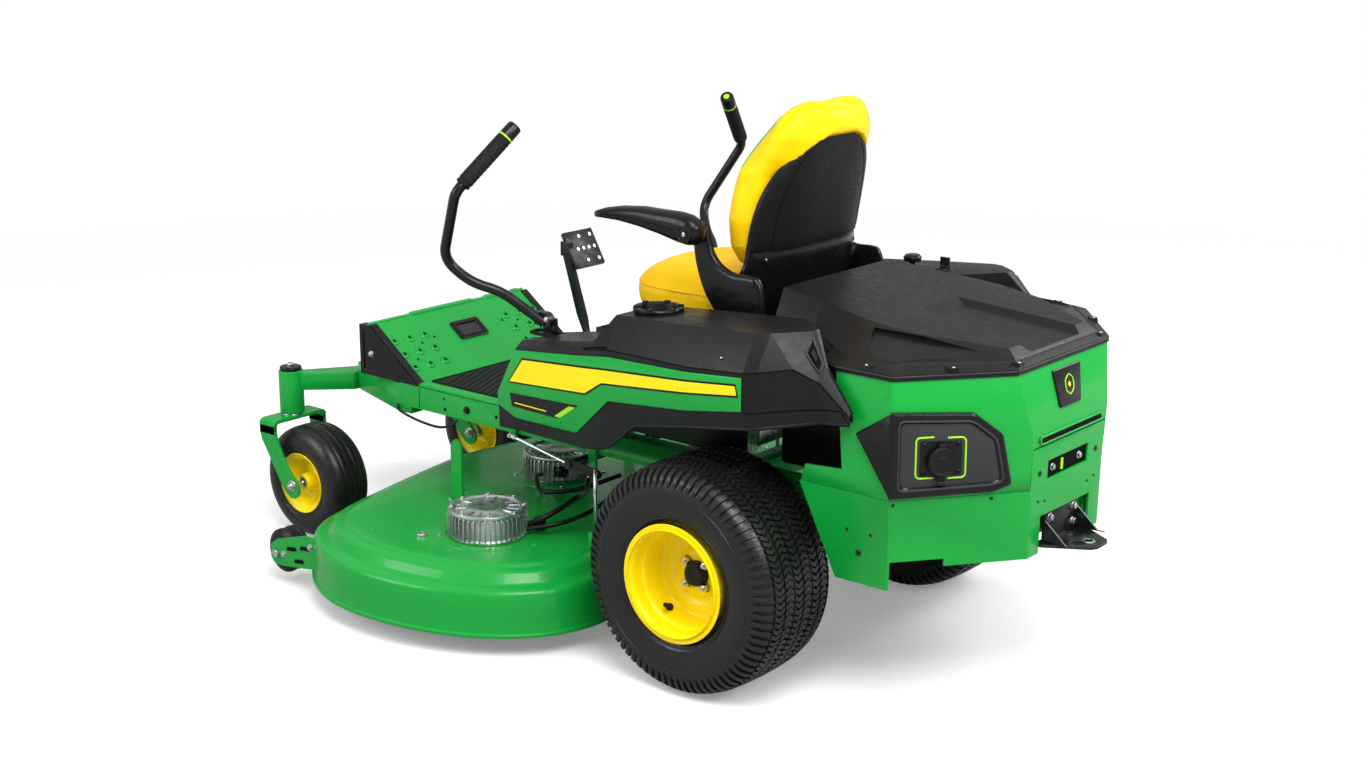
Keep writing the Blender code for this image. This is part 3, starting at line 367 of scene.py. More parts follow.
def carve(obj, tool):
    """Takes a closed tool object out of a piece."""
    cut = obj.modifiers.new("carve", "BOOLEAN")
    cut.object, cut.operation = tool, "DIFFERENCE"
    settle(obj)
    bpy.data.objects.remove(tool)


# ---------------------------------------------------------- lines, outlines
def spline(points, steps=6, closed=False):
    """Catmull-Rom through the points."""
    points = [Vector(p) if len(p) == 3 else Vector((p[0], p[1], 0)) for p in points]
    count = len(points)
    out = []
    for i in range(count if closed else count - 1):
        before = points[(i - 1) % count] if closed or i > 0 else points[0]
        here, there = points[i], points[(i + 1) % count]
        after = points[(i + 2) % count] if closed or i + 2 < count else points[-1]
        for k in range(steps):
            t = k / steps
            out.append(.5 * ((2 * here) + (there - before) * t
                             + (2 * before - 5 * here + 4 * there - after) * t * t
                             + (3 * here - before - 3 * there + after) * t ** 3))
    if not closed:
        out.append(points[-1])
    return out


def flat_spline(points, steps, closed=False):
    """The spline of flat points, as pairs."""
    return [(p.x, p.y) for p in spline(points, steps, closed)]


def arc(start, corner, end, steps):
    """A quadratic curve from start to end, drawn towards the corner."""
    out = []
    for i in range(steps + 1):
        t = i / steps
        out.append((1 - t) ** 2 * start + 2 * t * (1 - t) * corner + t ** 2 * end)
    return out


def bent(points, radii, steps=8):
    """A path whose corners are arcs."""
    points = [Vector(p) for p in points]
    out = [points[0]]
    for before, corner, after, radius in zip(points, points[1:], points[2:], radii):
        back, ahead = before - corner, after - corner
        cut = min(radius, back.length * .48, ahead.length * .48)
        out += arc(corner + back.normalized() * cut, corner, corner + ahead.normalized() * cut,
                   steps)
    out.append(points[-1])
    return out


def shrink(outline, amount):
    """A convex outline with every side moved inwards."""
    count = len(outline)
    following = outline[1:] + outline[:1]
    area = sum(a[0] * b[1] - b[0] * a[1] for a, b in zip(outline, following))
    turn = 1 if area > 0 else -1
    out = []
    for i in range(count):
        before, corner, after = Vector(outline[i - 1]), Vector(outline[i]), Vector(following[i])
        edge_in, edge_out = (corner - before).normalized(), (after - corner).normalized()
        normal_in = Vector((-edge_in.y, edge_in.x)) * turn
        normal_out = Vector((-edge_out.y, edge_out.x)) * turn
        both = normal_in + normal_out
        out.append(tuple(corner + both * (amount / max(.25, 1 + normal_in.dot(normal_out)))))
    return out


def soften(outline, radius, steps=5):
    """An outline with rounded corners; radius is one value or one for each corner."""
    out, count = [], len(outline)
    for i in range(count):
        before, corner = Vector(outline[i - 1]), Vector(outline[i])
        after = Vector(outline[(i + 1) % count])
        cut = radius[i] if isinstance(radius, list) else radius
        start = corner + (before - corner).normalized() * min(cut, (before - corner).length * .45)
        end = corner + (after - corner).normalized() * min(cut, (after - corner).length * .45)
        out += [tuple(p) for p in arc(start, corner, end, steps)]
    return out


def even(path, passes=2, closed=True):
    """Smooths a path by averaging neighbours."""
    points = [Vector(p) for p in path]
    count = len(points)
    for _ in range(passes):
        points = [(points[i - 1] + points[i] * 2 + points[(i + 1) % count]) / 4
                  if closed or 0 < i < count - 1 else points[i] for i in range(count)]
    return points


def near_corners(points, part):
    """Two points on each side of a closed outline, that part of its length from the ends."""
    return [a.lerp(b, share) for a, b in zip(points, points[1:] + points[:1])
            for share in (part, 1 - part)]


def rect(a_min, a_max, b_min, b_max):
    return [(a_min, b_min), (a_max, b_min), (a_max, b_max), (a_min, b_max)]


def signed_power(value, power):
    return math.copysign(abs(value) ** power, value)


def oval(x, y, half_x, half_y, z, count, power):
    """A level superellipse."""
    turns = [2 * math.pi * i / count for i in range(count)]
    return [(x + half_x * signed_power(math.cos(turn), 2 / power),
             y + half_y * signed_power(math.sin(turn), 2 / power), z) for turn in turns]


def both_halves(profile):
    """A (distance, radius) profile joined to its mirror image at distance 0."""
    return [(-along, radius) for along, radius in profile[::-1]] + profile[1:]


# ------------------------------------------------------------ carried nodes
def dress(node, mat, bevel=0, segments=2, angle=30):
    """A frame node keeps its shape: welded and edge-rounded by modifiers, with a finish."""
    obj = NODES[node]
    obj.data.materials.clear()
    obj.data.materials.append(MATERIALS[mat])
    obj.modifiers.new("weld", "WELD").merge_threshold = .00002
    if bevel:
        add_bevel(obj, bevel, segments, angle).use_clamp_overlap = True
    shade(obj.data, 35)


def dress_all(table, tags=("",)):
    """Rows of node, finish, bevel width, bevel segments, bevel angle."""
    for tag in tags:
        for node, *look in table:
            dress(node.format(tag), *look)


dress_all([
    ("main_frame", "paint_green", .0022),
    ("front_axle", "paint_green", .0015),
    ("foot_platform", "paint_green", .0012),
    ("seat_support", "plastic_black", .002),
    ("battery_pack", "plastic_black", .003),
    ("motor_controller", "aluminium", .002),
    ("rear_body_panel", "paint_green", .0035, 3),
    ("rear_bumper", "paint_green", .0025, 3),
    ("rear_cover", "plastic_black", .004, 3, 12),
    ("charge_panel", "plastic_black", .002),
    ("charge_port_cap", "plastic_black", .001),
    ("hitch_plate", "steel_black", .001)])
dress_all([
    ("drive_unit_{}", "aluminium", .002),
    ("fender_{}", "plastic_black", .0035, 3, 8),
    ("side_panel_{}", "paint_green", .0015),
    ("lever_bracket_{}", "steel_black", .001),
    ("armrest_{}", "gloss_black", .004, 3),
    ("lift_link_{}", "steel")], SIDES)
dress_all([
    ("cup_holder", "plastic_black", .001),
    ("control_display", "gloss_black", .0008),
    ("seat_pan", "steel_black", .001),
    ("seat_back_shell", "plastic_black", .004, 3),
    ("deck_lift_pedal", "steel_black", .0012),
    ("lift_shaft", "steel_black", .001),
    ("key_switch", "steel_black", .0006),
    ("pto_knob", "gloss_black", .001)])
dress_all([("blade_{}", "steel", .0006)], ("left", "center", "right"))
dress_all([("discharge_chute", "plastic_black", .002)])

# ------------------------------------------------------------- rear wheels
# Half of the carcass's outer face: distance from its middle, radius.
CARCASS = [
    (0, .2475), (.04, .2466), (.075, .2446), (.095, .2405), (.108, .2325), (.1165, .22),
    (.1213, .205), (.1232, .185), (.1215, .166), (.118, .15), (.119, .148), (.1165, .144),
    (.114, .137), (.108, .128)]
# The line the shoulder lugs follow, from tread to sidewall, in the same columns.
LUG_LINE = [(.0925, .2412), (.0985, .239), (.1065, .2338), (.113, .2262), (.1172, .2175),
            (.12, .209)]
PITCHES = 54
PITCH = 2 * math.pi / PITCHES
ROW_SPACING = .0302
SHOULDER_LUGS = 78
DISC = .0325  # the wheel disc's outer face, from the wheel's middle
# The rim's closed section: distance from the wheel's middle, radius.
RIM = [
    (.112, .1165), (.1165, .119), (.1185, .1255), (.121, .1298), (.1228, .1302),
    (.1236, .1285), (.1225, .1225), (.12, .1165), (.114, .1125), (.098, .1105),
    (.09, .1085), (.086, .1045), (.084, .1025), (.06, .101), (.042, .1), (.035, .096),
    (DISC + .001, .088), (DISC, .074), (DISC - .005, .065), (DISC - .005, .056),
    (DISC + .001, .0495), (DISC + .001, .029), (DISC - .004, .029), (DISC - .004, .048),
    (DISC - .01, .056), (DISC - .01, .066), (DISC - .006, .076), (.028, .09),
    (.024, .0985), (-.02, .1005), (-.07, .101), (-.088, .11), (-.112, .1115),
    (-.118, .114), (-.1215, .122), (-.123, .129), (-.121, .1302), (-.1185, .126),
    (-.1165, .119), (-.112, .1165)]


def carcass_radius(across):
    """The carcass's radius under the tread."""
    tread = CARCASS[:5]
    return np.interp(abs(across), [p[0] for p in tread], [p[1] for p in tread])


def wheel_point(across, angle, radius):
    """A point of the left rear wheel."""
    return REAR_CENTRE + Vector((across, math.cos(angle) * radius, math.sin(angle) * radius))


def tread_block(part, across, start, flip):
    """A chevron block whose middle leans forward or back with flip."""
    half, length, kink = .0134, PITCH * .37, .26 * PITCH * flip
    base, crown = [], []
    for shift, turn, taper in ((-half, 0, 1), (0, kink, 1), (half, 0, 1), (half, length, -1),
                               (0, length + kink, -1), (-half, length, -1)):
        angle = start + turn
        base.append(wheel_point(across + shift, angle, carcass_radius(across + shift) - .0015))
        top = across + shift * .93
        radius = min(REAR_RADIUS - .0003, carcass_radius(top) + .0062)
        crown.append(wheel_point(top, angle + taper * length * .07, radius))
    walls = [[i, (i + 1) % 6, 6 + (i + 1) % 6, 6 + i] for i in range(6)]
    part.add(base + crown,
             [[6, 7, 10, 11], [7, 8, 9, 10]] + walls + [[0, 5, 4, 1], [1, 4, 3, 2]], "tyre")


def shoulder_lug(part, sign, start):
    """A rib from the tread's edge down the sidewall."""
    last = len(LUG_LINE) - 1
    rows = []
    for i, (across, radius) in enumerate(LUG_LINE):
        share = i / last
        ahead = Vector(LUG_LINE[min(i + 1, last)]) - Vector(LUG_LINE[max(i - 1, 0)])
        ahead.normalize()
        out_across, out_radius = -ahead.y, ahead.x
        height = .0058 * (1 - max(0, share - .75) * 3)
        wide = (.0066 - .0012 * share) * (1 if share < .85 else .66) / radius
        middle = start + .018 * share
        high_across = min(across + out_across * height, REAR_HALF - .0004)
        high_radius = radius + out_radius * height
        low_across, low_radius = across - out_across * .002, radius - out_radius * .002
        rows.append([wheel_point(sign * low_across, middle - wide, low_radius),
                     wheel_point(sign * high_across, middle - wide * .78, high_radius),
                     wheel_point(sign * high_across, middle + wide * .78, high_radius),
                     wheel_point(sign * low_across, middle + wide, low_radius)])
    part.rings(rows, "tyre")


def rear_tyre(side):
    part = Build()
    inside = [(.1, .126), (.1, .15), (.085, .22), (-.085, .22), (-.1, .15), (-.1, .126)]
    part.lathe(both_halves(flat_spline(CARCASS, 4)) + inside, REAR_CENTRE, X_AXIS, "tyre",
               144, loop=True)
    for row in range(6):
        flip = 1 if row % 2 == 0 else -1
        offset = 0 if row % 2 == 0 else PITCH * .5
        for k in range(PITCHES):
            for bar in (0, 1):
                start = k * PITCH + offset + bar * PITCH * .46
                tread_block(part, (row - 2.5) * ROW_SPACING, start, flip)
    for sign in (1, -1):
        for k in range(SHOULDER_LUGS):
            start = 2 * math.pi * k / SHOULDER_LUGS + (.02 if sign < 0 else 0)
            shoulder_lug(part, sign, start)
    # a raised line round each sidewall
    for sign in (1, -1):
        line = [(.1229 * sign, .1965), (.124 * sign, .1955), (.124 * sign, .194),
                (.1229 * sign, .193)]
        part.lathe(line, REAR_CENTRE, X_AXIS, "tyre", 144, loop=True)
    part.make("tyre_{}", "rear_wheel_{}", "rear_tyre_{}", side, smooth=38)


def rear_rim(side):
    part = Build()
    part.lathe(flat_spline(RIM, 2, closed=True), REAR_CENTRE, X_AXIS, "paint_yellow", 112,
               loop=True)
    # valve stem, leaning out of the dish
    angle = -2.15
    lean = Vector((.026, -math.cos(angle) * .018, -math.sin(angle) * .018))
    part.lathe([(0, 0), (0, .0085), (.004, .008), (.007, .0048), (.022, .0043), (.023, .0052),
                (.033, .0052), (.034, .0042), (.034, 0)],
               wheel_point(.062, angle, .0975), lean, "rubber", 20)
    part.make("rim_{}", "rear_wheel_{}", "rear_rim_{}", side, smooth=40)


def rear_hub(side):
    part = Build()
    part.lathe([(-.154, 0), (-.154, .018), (-.015, .018), (0, .05), (.022, .05),
                (.0255, .0475), (.0255, 0)], REAR_CENTRE, X_AXIS, "steel_black")
    part.lathe([(.026, 0), (.026, .027), (.04, .0268), (.047, .0262), (.05, .024),
                (.0515, .019), (.0505, .012), (.0495, 0)],
               REAR_CENTRE, X_AXIS, "plastic_black", 56)
    for k in range(4):
        at = wheel_point(DISC + .0012, math.pi / 4 + k * math.pi / 2, .036)
        part.lathe([(0, .006), (0, .0108), (.003, .0108), (.0045, .01)], at, X_AXIS,
                   "steel", 24)
        part.lathe([(.0035, .0092), (.012, .0092), (.0142, .0076), (.0142, .0045),
                    (.019, .0045), (.0195, .0036), (.0195, 0)], at, X_AXIS, "steel", 6)
    part.make("hub_{}", "rear_wheel_{}", "rear_hub_{}", side, bevel=.0004)


for side in SIDES:
    rear_tyre(side)
    rear_rim(side)
    rear_hub(side)

# ----------------------------------------------------------------- casters
low, high = local("caster_tyre_left")
CASTER_X = (low.x + high.x) / 2
CASTER = Vector((CASTER_X, (low.y + high.y) / 2, (high.z - low.z) / 2))
PIVOT = (CASTER_X, -1.478, 0)
# Half of the tyre's outer face: distance from its middle, radius.
CASTER_TREAD = [
    (0, .1468), (.006, .1468), (.0075, .1436), (.0105, .1436), (.012, .1466),
    (.027, .1456), (.0285, .1424), (.0315, .142), (.033, .1448), (.045, .1405),
    (.054, .131), (.06, .118), (.0622, .105), (.061, .093), (.059, .09), (.0596, .088),
    (.0575, .082), (.0545, .0775)]
# One disc of the rim, from the axle out to the lip, in the same columns.
CASTER_DISC = [
    (.05, .011), (.05, .019), (.047, .0215), (.02, .024), (.016, .029), (.015, .043),
    (.0185, .05), (.032, .056), (.044, .061), (.052, .069), (.056, .0775),
    (.0585, .0788), (.06, .0778)]
CASTER_LIP = [(.06, .0789), (.0575, .0796), (.055, .077), (.042, .0695)]


def caster_tyre(side):
    part = Build()
    inside = [(.044, .072), (.04, .12), (-.04, .12), (-.044, .072)]
    part.lathe(both_halves(flat_spline(CASTER_TREAD, 3)) + inside, CASTER, X_AXIS, "tyre",
               120, loop=True)
    part.make("caster_tyre_skin_{}", "caster_wheel_{}", "caster_tyre_{}", side, smooth=38)


def caster_rim(side):
    part = Build()
    half = CASTER_DISC + CASTER_LIP
    part.lathe(half + [(-along, radius) for along, radius in half[::-1]], CASTER, X_AXIS,
               "paint_yellow", 112, loop=True)
    # five hollows pressed into each disc
    pressed = []
    for vert in part.verts:
        offset = Vector(vert) - CASTER
        radius = math.hypot(offset.y, offset.z)
        if .03 < radius < .06 and abs(offset.x) < .045:
            angle = math.atan2(offset.z, offset.y)
            depth = max(0, math.cos(5 * angle)) ** 2 * math.exp(-((radius - .046) / .007) ** 2)
            offset.x -= math.copysign(.0045 * depth, offset.x)
        pressed.append(tuple(CASTER + offset))
    part.verts = pressed
    for sign in (1, -1):
        part.lathe([(.0505, 0), (.0505, .015), (.053, .015), (.0545, .012), (.0545, 0)],
                   CASTER, (sign, 0, 0), "steel", 24)
    part.make("caster_rim_disc_{}", "caster_wheel_{}", "caster_rim_{}", side, smooth=42)


def caster_fork(side):
    part = Build()
    thick = .009
    inner, outer = CASTER_X - .078, CASTER_X + .078
    leg = bent([(-1.508, .3), (-1.508, .262), (-1.418, .124), (-1.386, .108), (-1.362, .126),
                (-1.366, .156), (-1.402, .184), (-1.448, .262), (-1.448, .3)],
               [.02, .03, .016, .016, .016, .02, .02], 5)
    for x in (outer, inner - thick):
        part.plate(leg, x, thick, "paint_green")
    over = bent([(inner - thick, .27), (inner - thick, .308), (outer + thick, .308),
                 (outer + thick, .27)], [.016, .016], 6)
    under = bent([(inner, .27), (inner, .2985), (outer, .2985), (outer, .27)], [.01, .01], 6)
    part.slab([(x, -1.508, z) for x, z in over + under[::-1]], (0, .06, 0), "paint_green")
    part.rod(.3075, .3115, .03, PIVOT, UP, "steel", 36)
    part.lathe([(.4256, 0), (.4256, .0265), (.4275, .0285), (.433, .0285), (.4355, .0265),
                (.437, .018), (.437, 0)], PIVOT, UP, "gloss_black", 40)
    part.lathe([(.4372, 0), (.4372, .0105), (.4425, .0105), (.444, .0085), (.444, 0)],
               PIVOT, UP, "steel", 6)
    part.rod(.2985, .426, .013, PIVOT, UP, "steel", 24)
    part.rod(-.088, .088, .0078, CASTER, X_AXIS, "steel", 20)
    for sign in (1, -1):
        at = CASTER + Vector((sign * .0872, 0, 0))
        part.lathe([(0, 0), (0, .015), (.0022, .015), (.0028, 0)], at, (sign, 0, 0),
                   "steel", 28)
        part.lathe([(.002, .011), (.0085, .011), (.0105, .009), (.0105, .005),
                    (.0132, .005), (.0132, 0)], at, (sign, 0, 0), "steel", 6)
    part.make("caster_fork_weldment_{}", "caster_{}", "caster_fork_{}", side, bevel=.0011)


for side in SIDES:
    caster_tyre(side)
    caster_rim(side)
    caster_fork(side)

# -------------------------------------------------------------- deck shell
# Left half of the deck's outline, front to rear: x, y.
HALF_PLAN = [
    (0, -1.212), (.12, -1.198), (.26, -1.172), (.4, -1.142), (.52, -1.112), (.6, -1.07),
    (.655, -1.01), (.7, -.93), (.726, -.85), (.734, -.75), (.724, -.64), (.692, -.525),
    (.64, -.43), (.56, -.352), (.47, -.316), (.38, -.312), (.29, -.34), (.2, -.392),
    (.1, -.43), (0, -.44)]
PLAN = flat_spline(HALF_PLAN + [(-x, y) for x, y in HALF_PLAN[-2:0:-1]], 6, closed=True)
TANGENTS = [(Vector(after) - Vector(before)).normalized()
            for before, after in zip(PLAN[-1:] + PLAN[:-1], PLAN[1:] + PLAN[:1])]
# The stamping's section: distance in from the outline, z.
DECK_SKIN = [
    (.0045, .05), (-.0035, .05), (-.0056, .052), (-.0056, .058), (-.0035, .0602),
    (-.0006, .0612), (.0002, .064), (.001, .105), (.0022, .144), (.0048, .152),
    (.01, .1572), (.0165, .159), (.033, .16), (.0365, .1612), (.04, .165), (.048, .18),
    (.052, .185), (.058, .1872), (.072, .188), (.075, .19), (.078, .194), (.081, .1955),
    (.086, .196), (.11, .196)]
DECK_UNDER = [(.112, .1915), (.082, .1905), (.06, .1815), (.046, .17), (.04, .156),
              (.014, .153), (.0065, .143), (.005, .06)]


def deck_level(amount, z):
    """The deck's outline moved inwards, smoothed so that deep insets stay clean."""
    moved = [Vector((x - tangent.y * amount, y + tangent.x * amount))
             for (x, y), tangent in zip(PLAN, TANGENTS)]
    return [(p.x, p.y, z) for p in even(moved, int(amount * 160))]


part = Build()
part.rings([deck_level(*level) for level in DECK_SKIN + DECK_UNDER], "paint_green", loop=True)
around_plan = list(range(len(PLAN)))
part.add(deck_level(*DECK_SKIN[-1]), [around_plan], "paint_green")
part.add(deck_level(*DECK_UNDER[0]), [around_plan[::-1]], "paint_green")
shell = part.make("deck_stamping", "deck", "deck_shell", smooth=34)
work = bmesh.new()
work.from_mesh(shell.data)
bmesh.ops.remove_doubles(work, verts=work.verts, dist=1e-5)
bmesh.ops.recalc_face_normals(work, faces=work.faces)
work.to_mesh(shell.data)
work.free()
# the chute's opening on the right side
part = Build()
part.block(-.8, -.69, -.93, -.5, .07, .138, "dark")
carve(shell, part.make("deck_opening_tool", "deck"))
shade(shell.data, 34)

# ------------------------------------------------------------- deck motors
MOTORS = {"left": (.445, -.635), "center": (0, -.82), "right": (-.445, -.635)}


def motor(tag, x, y):
    part = Build()
    node = "deck_motor_" + tag
    foot, top = (corner.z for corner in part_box(node))

    def spoke(turn, section, z):
        """A section of (distance out, offset across) turned about the motor."""
        cos, sin = math.cos(turn), math.sin(turn)
        return [(x + cos * out - sin * across, y + sin * out + cos * across, z)
                for out, across in section]

    part.lathe([(foot, 0), (foot, .088), (foot + .006, .09), (foot + .008, .083),
                (foot + .012, .082), (top - .016, .082), (top - .013, .09),
                (top - .008, .0925), (top - .003, .0915), (top - .0015, .086),
                (top - .003, .078), (top - .006, .074), (top - .0052, .05),
                (top - .003, .045), (top - .0022, .03), (top - .0034, .02), (top - .0034, 0)],
               (x, y, 0), UP, "aluminium", 96)
    # upright fins round the side, then flat ribs on the top
    for k in range(44):
        rings = []
        for z, less in ((foot + .006, .003), (foot + .012, 0), (top - .018, 0),
                        (top - .011, .003)):
            fin = [(.08, -.0019), (.094 - less, -.0011), (.094 - less, .0011), (.08, .0019)]
            rings.append(spoke(2 * math.pi * k / 44, fin, z))
        part.rings(rings, "aluminium")
    rib = [(.047, -.0013), (.074, -.0016), (.074, .0016), (.047, .0013)]
    for k in range(16):
        turn = 2 * math.pi * k / 16 + .1
        part.rings([spoke(turn, rib, top - drop) for drop in (.0058, .0032)], "aluminium")
    for k in range(8):
        turn = 2 * math.pi * k / 8
        part.lathe([(0, .0068), (0, .0068), (.0022, .0064), (.0026, .004), (.0014, .0034),
                    (.0014, 0)],
                   (x + math.cos(turn) * .0845, y + math.sin(turn) * .0845, top - .0026),
                   UP, "aluminium", 20)
    part.make("motor_housing_" + tag, "deck", node, bevel=.0004, smooth=34)


for tag, place in MOTORS.items():
    motor(tag, *place)

# ----------------------------------------------------------- deck fittings
BRACKET_X, BRACKET_FRONT, BRACKET_REAR = .321, -.881, -.845
BRACKET_Y = (BRACKET_FRONT + BRACKET_REAR) / 2
LINK_Y = centre("lift_link_left").y
ROLLER = (0, -1.165, .08)
# The plate that carries the anti-scalp roller: y, z.
SCALP_PLATE = [(-1.19, .066), (-1.19, .098), (-1.164, .116), (-1.06, .146), (-1, .15),
               (-.992, .104), (-1.01, .07), (-1.15, .05), (-1.178, .052)]
part = Build()
for sign in (1, -1):
    sideways = (sign, 0, 0)
    outline = bent([(BRACKET_FRONT, .195), (BRACKET_FRONT, .34), (BRACKET_Y, .358),
                    (BRACKET_REAR, .34), (BRACKET_REAR, .195)], [.012, .012, .012], 5)
    part.plate(outline, sign * BRACKET_X - .003, .006, "paint_green")
    part.block(sign * BRACKET_X - .019, sign * BRACKET_X + .019, BRACKET_FRONT - .004,
               BRACKET_REAR + .004, .1955, .2005, "paint_green")
    for shift in (-.012, .012):
        part.bolt((sign * (BRACKET_X + .012), BRACKET_Y + shift, .2005), UP, .005)
    part.block(sign * .347 - .0085, sign * .347 + .0085, LINK_Y - .016, LINK_Y + .016,
               .186, .229, "paint_green")
    part.plate(SCALP_PLATE, sign * .635, sign * .006, "paint_green")
    # slots in the plate: dark plates of painted shade, not cut through
    for y, z in ((-1.11, .1), (-1.06, .112), (-1.084, .074)):
        slot = bent([(y - .018, z - .005), (y - .016, z + .005), (y + .018, z + .009),
                     (y + .016, z - .001)], [.004, .004], 3)
        part.plate(slot, sign * .642, sign * .0006, "dark")
    part.bolt((sign * .6412, -1.04, .122), sideways, .0065)
    part.bolt((sign * .6412, -1.14, .082), sideways, .0065)
    part.lathe([(.641, .011), (.649, .011), (.651, .008), (.651, 0)], ROLLER, sideways,
               "steel", 6)
    part.lathe([(.566, 0), (.566, .01), (.569, .01), (.569, .0058), (.636, .0058),
                (.636, 0)], ROLLER, sideways, "steel", 20)
# ears and pin of the chute's hinge, on the right side only
for y in (-.966, -.472):
    part.slab([(-.64, y, .152), (-.752, y, .152), (-.756, y, .168), (-.75, y, .182),
               (-.66, y, .182)], (0, .008, 0), "paint_green")
part.lathe([(-.969, 0), (-.969, .0062), (-.9663, .0062), (-.9663, .0042), (-.4637, .0042),
            (-.4637, .0062), (-.461, .0062), (-.461, 0)], (-.742, 0, .168), Y_AXIS,
           "steel", 16)
# wash-out fitting, then domed heads on the top
part.lathe([(0, .015), (.004, .015), (.0055, .0125), (.015, .012), (.0165, .01),
            (.0165, .007), (.011, .0065), (.011, 0)], (.555, -.742, .1872), UP,
           "aluminium", 30)
for x, y in ((.25, -.7), (.25, -.92), (-.25, -.7), (-.25, -.92), (.15, -1.06),
             (-.15, -1.06), (.43, -.5), (-.43, -.5), (.6, -.86), (-.6, -.86)):
    part.dome((x, y, .1955), UP, .0085, "paint_green")
for x, y in MOTORS.values():
    for k in range(4):
        turn = math.pi / 4 + k * math.pi / 2
        part.bolt((x + math.cos(turn) * .112, y + math.sin(turn) * .112, .1958), UP, .0052)
    part.lathe([(.1955, .1), (.1955, .122), (.1975, .121), (.198, .1)], (x, y, 0), UP,
               "paint_green", 72, loop=True)
part.make("deck_fittings", "deck", bevel=.0006, smooth=34)

for side in SIDES:
    part = Build()
    part.lathe([(.5705, .0072), (.5705, .04), (.573, .0455), (.577, .05), (.58, .0545),
                (.589, .0548), (.5905, .0525), (.6095, .0525), (.611, .0548), (.62, .0545),
                (.623, .05), (.627, .0455), (.6295, .04), (.6295, .0072), (.625, .0072),
                (.622, .03), (.578, .03), (.575, .0072)],
               ROLLER, X_AXIS, "plastic_black", 64, loop=True)
    part.lathe([(.572, .0075), (.572, .018), (.628, .018), (.628, .0075)], ROLLER, X_AXIS,
               "plastic_black", 32)
    part.make("roller_{}", "scalp_wheel_{}", "scalp_wheel_{}", side, smooth=36)

# Cables over the deck: radius, then the points each one passes.
CABLES = [
    (.0065, [(.395, -.575, .214), (.35, -.53, .24), (.27, -.52, .262), (.19, -.56, .25),
             (.12, -.61, .262), (.06, -.66, .25), (.03, -.73, .232)]),
    (.0055, [(.4, -.56, .212), (.34, -.5, .225), (.25, -.49, .232), (.15, -.51, .24),
             (.06, -.52, .262)]),
    (.0065, [(-.395, -.575, .214), (-.35, -.53, .24), (-.27, -.52, .262),
             (-.19, -.56, .25), (-.06, -.54, .262)]),
    (.0055, [(.09, -.8, .222), (.15, -.76, .238), (.2, -.69, .228), (.16, -.61, .24),
             (.06, -.56, .262)])]
part = Build()
for radius, path in CABLES:
    part.tube(spline(path, 10), radius, "cable", 12)
for at in ((.35, -.56, .214), (.06, -.76, .23), (-.35, -.56, .214)):
    part.lathe([(-.012, 0), (-.012, .015), (.01, .016), (.014, .012), (.014, 0)], at, UP,
               "gloss_black", 24)
part.make("deck_cables", "deck", smooth=60)

# ----------------------------------------------------------- levers, grips
LEVER_PATH = [(.324, -.56, .69), (.352, -.6, .727), (.388, -.635, .765),
              (.429, -.69, .785), (.469, -.735, .839), (.517, -.642, 1.006),
              (.386, -.591, 1.137)]


def lever(side):
    part = Build()
    part.tube(bent(LEVER_PATH, [.03, .04, .04, .045, .022], 10), .0118, "steel_black", 28)
    base = bent([(-.586, .6848), (-.54, .6848), (-.535, .7), (-.548, .716), (-.588, .716),
                 (-.592, .7)], [.006, .006, .008, .008], 4)
    part.plate(base, .3112, .0188, "steel_black")
    for shift in (-.012, .014):
        part.bolt((.33, -.563 + shift, .701), X_AXIS, .0052)
    part.make("lever_tube_{}", "control_lever_{}", "lever_{}", side, bevel=.0008, smooth=40)


def grip(side):
    """A ribbed sleeve with a lime ring, a black cap and a lime button at its upper end."""
    elbow, tip = Vector(LEVER_PATH[-2]), Vector(LEVER_PATH[-1])
    axis = (tip - elbow).normalized()
    start, end = tip - axis * .168, tip + axis * .012
    length = (end - start).length
    profile = [(0, .0122), (0, .016), (.002, .0172), (.006, .0176), (.0075, .016),
               (.009, .016), (.0105, .0174)]
    rib = .0105
    at = rib
    while at < length - .046:
        profile += [(at + .002, .0178), (at + .008, .0179), (at + .0088, .0173),
                    (at + .01, .0173)]
        at += rib
    profile += [(length - .038, .0176), (length - .038, 0)]
    part = Build()
    part.lathe(profile, start, axis, "rubber", 40)
    part.rod(length - .0382, length - .0345, .018, start, axis, "lime", 40)
    part.lathe([(length - .0343, 0), (length - .0343, .0176), (length - .006, .0172),
                (length - .0015, .0155), (length - .0002, .012), (length - .0002, 0)],
               start, axis, "gloss_black", 40)
    part.lathe([(length - .0003, 0), (length - .0003, .0078), (length + .0002, .007),
                (length + .0002, 0)], start, axis, "lime", 28)
    part.make("grip_sleeve_{}", "control_lever_{}", "grip_{}", side, smooth=40)


for side in SIDES:
    lever(side)
    grip(side)

# -------------------------------------------------------------------- seat
VOXEL = .0055
CLOTH_FRAMES = 20
SMOOTHING = 26  # passes that even out the cloth's travel


def swell(obj):
    """Blows a cushion up with the cloth solver and returns the moved points."""
    cloth = obj.modifiers.new("cloth", "CLOTH")
    settings = cloth.settings
    settings.quality = 6
    settings.mass = .3
    settings.tension_stiffness = settings.compression_stiffness = 12
    settings.bending_stiffness = .6
    settings.use_pressure = True
    settings.uniform_pressure_force = 4
    settings.effector_weights.gravity = 0
    cloth.collision_settings.use_collision = False
    scene = bpy.context.scene
    for step in range(1, CLOTH_FRAMES + 1):
        scene.frame_set(step)
    graph = bpy.context.evaluated_depsgraph_get()
    result = obj.evaluated_get(graph)
    moved = np.array([v.co for v in result.data.vertices], float)
    obj.modifiers.clear()
    scene.frame_set(1)
    return moved


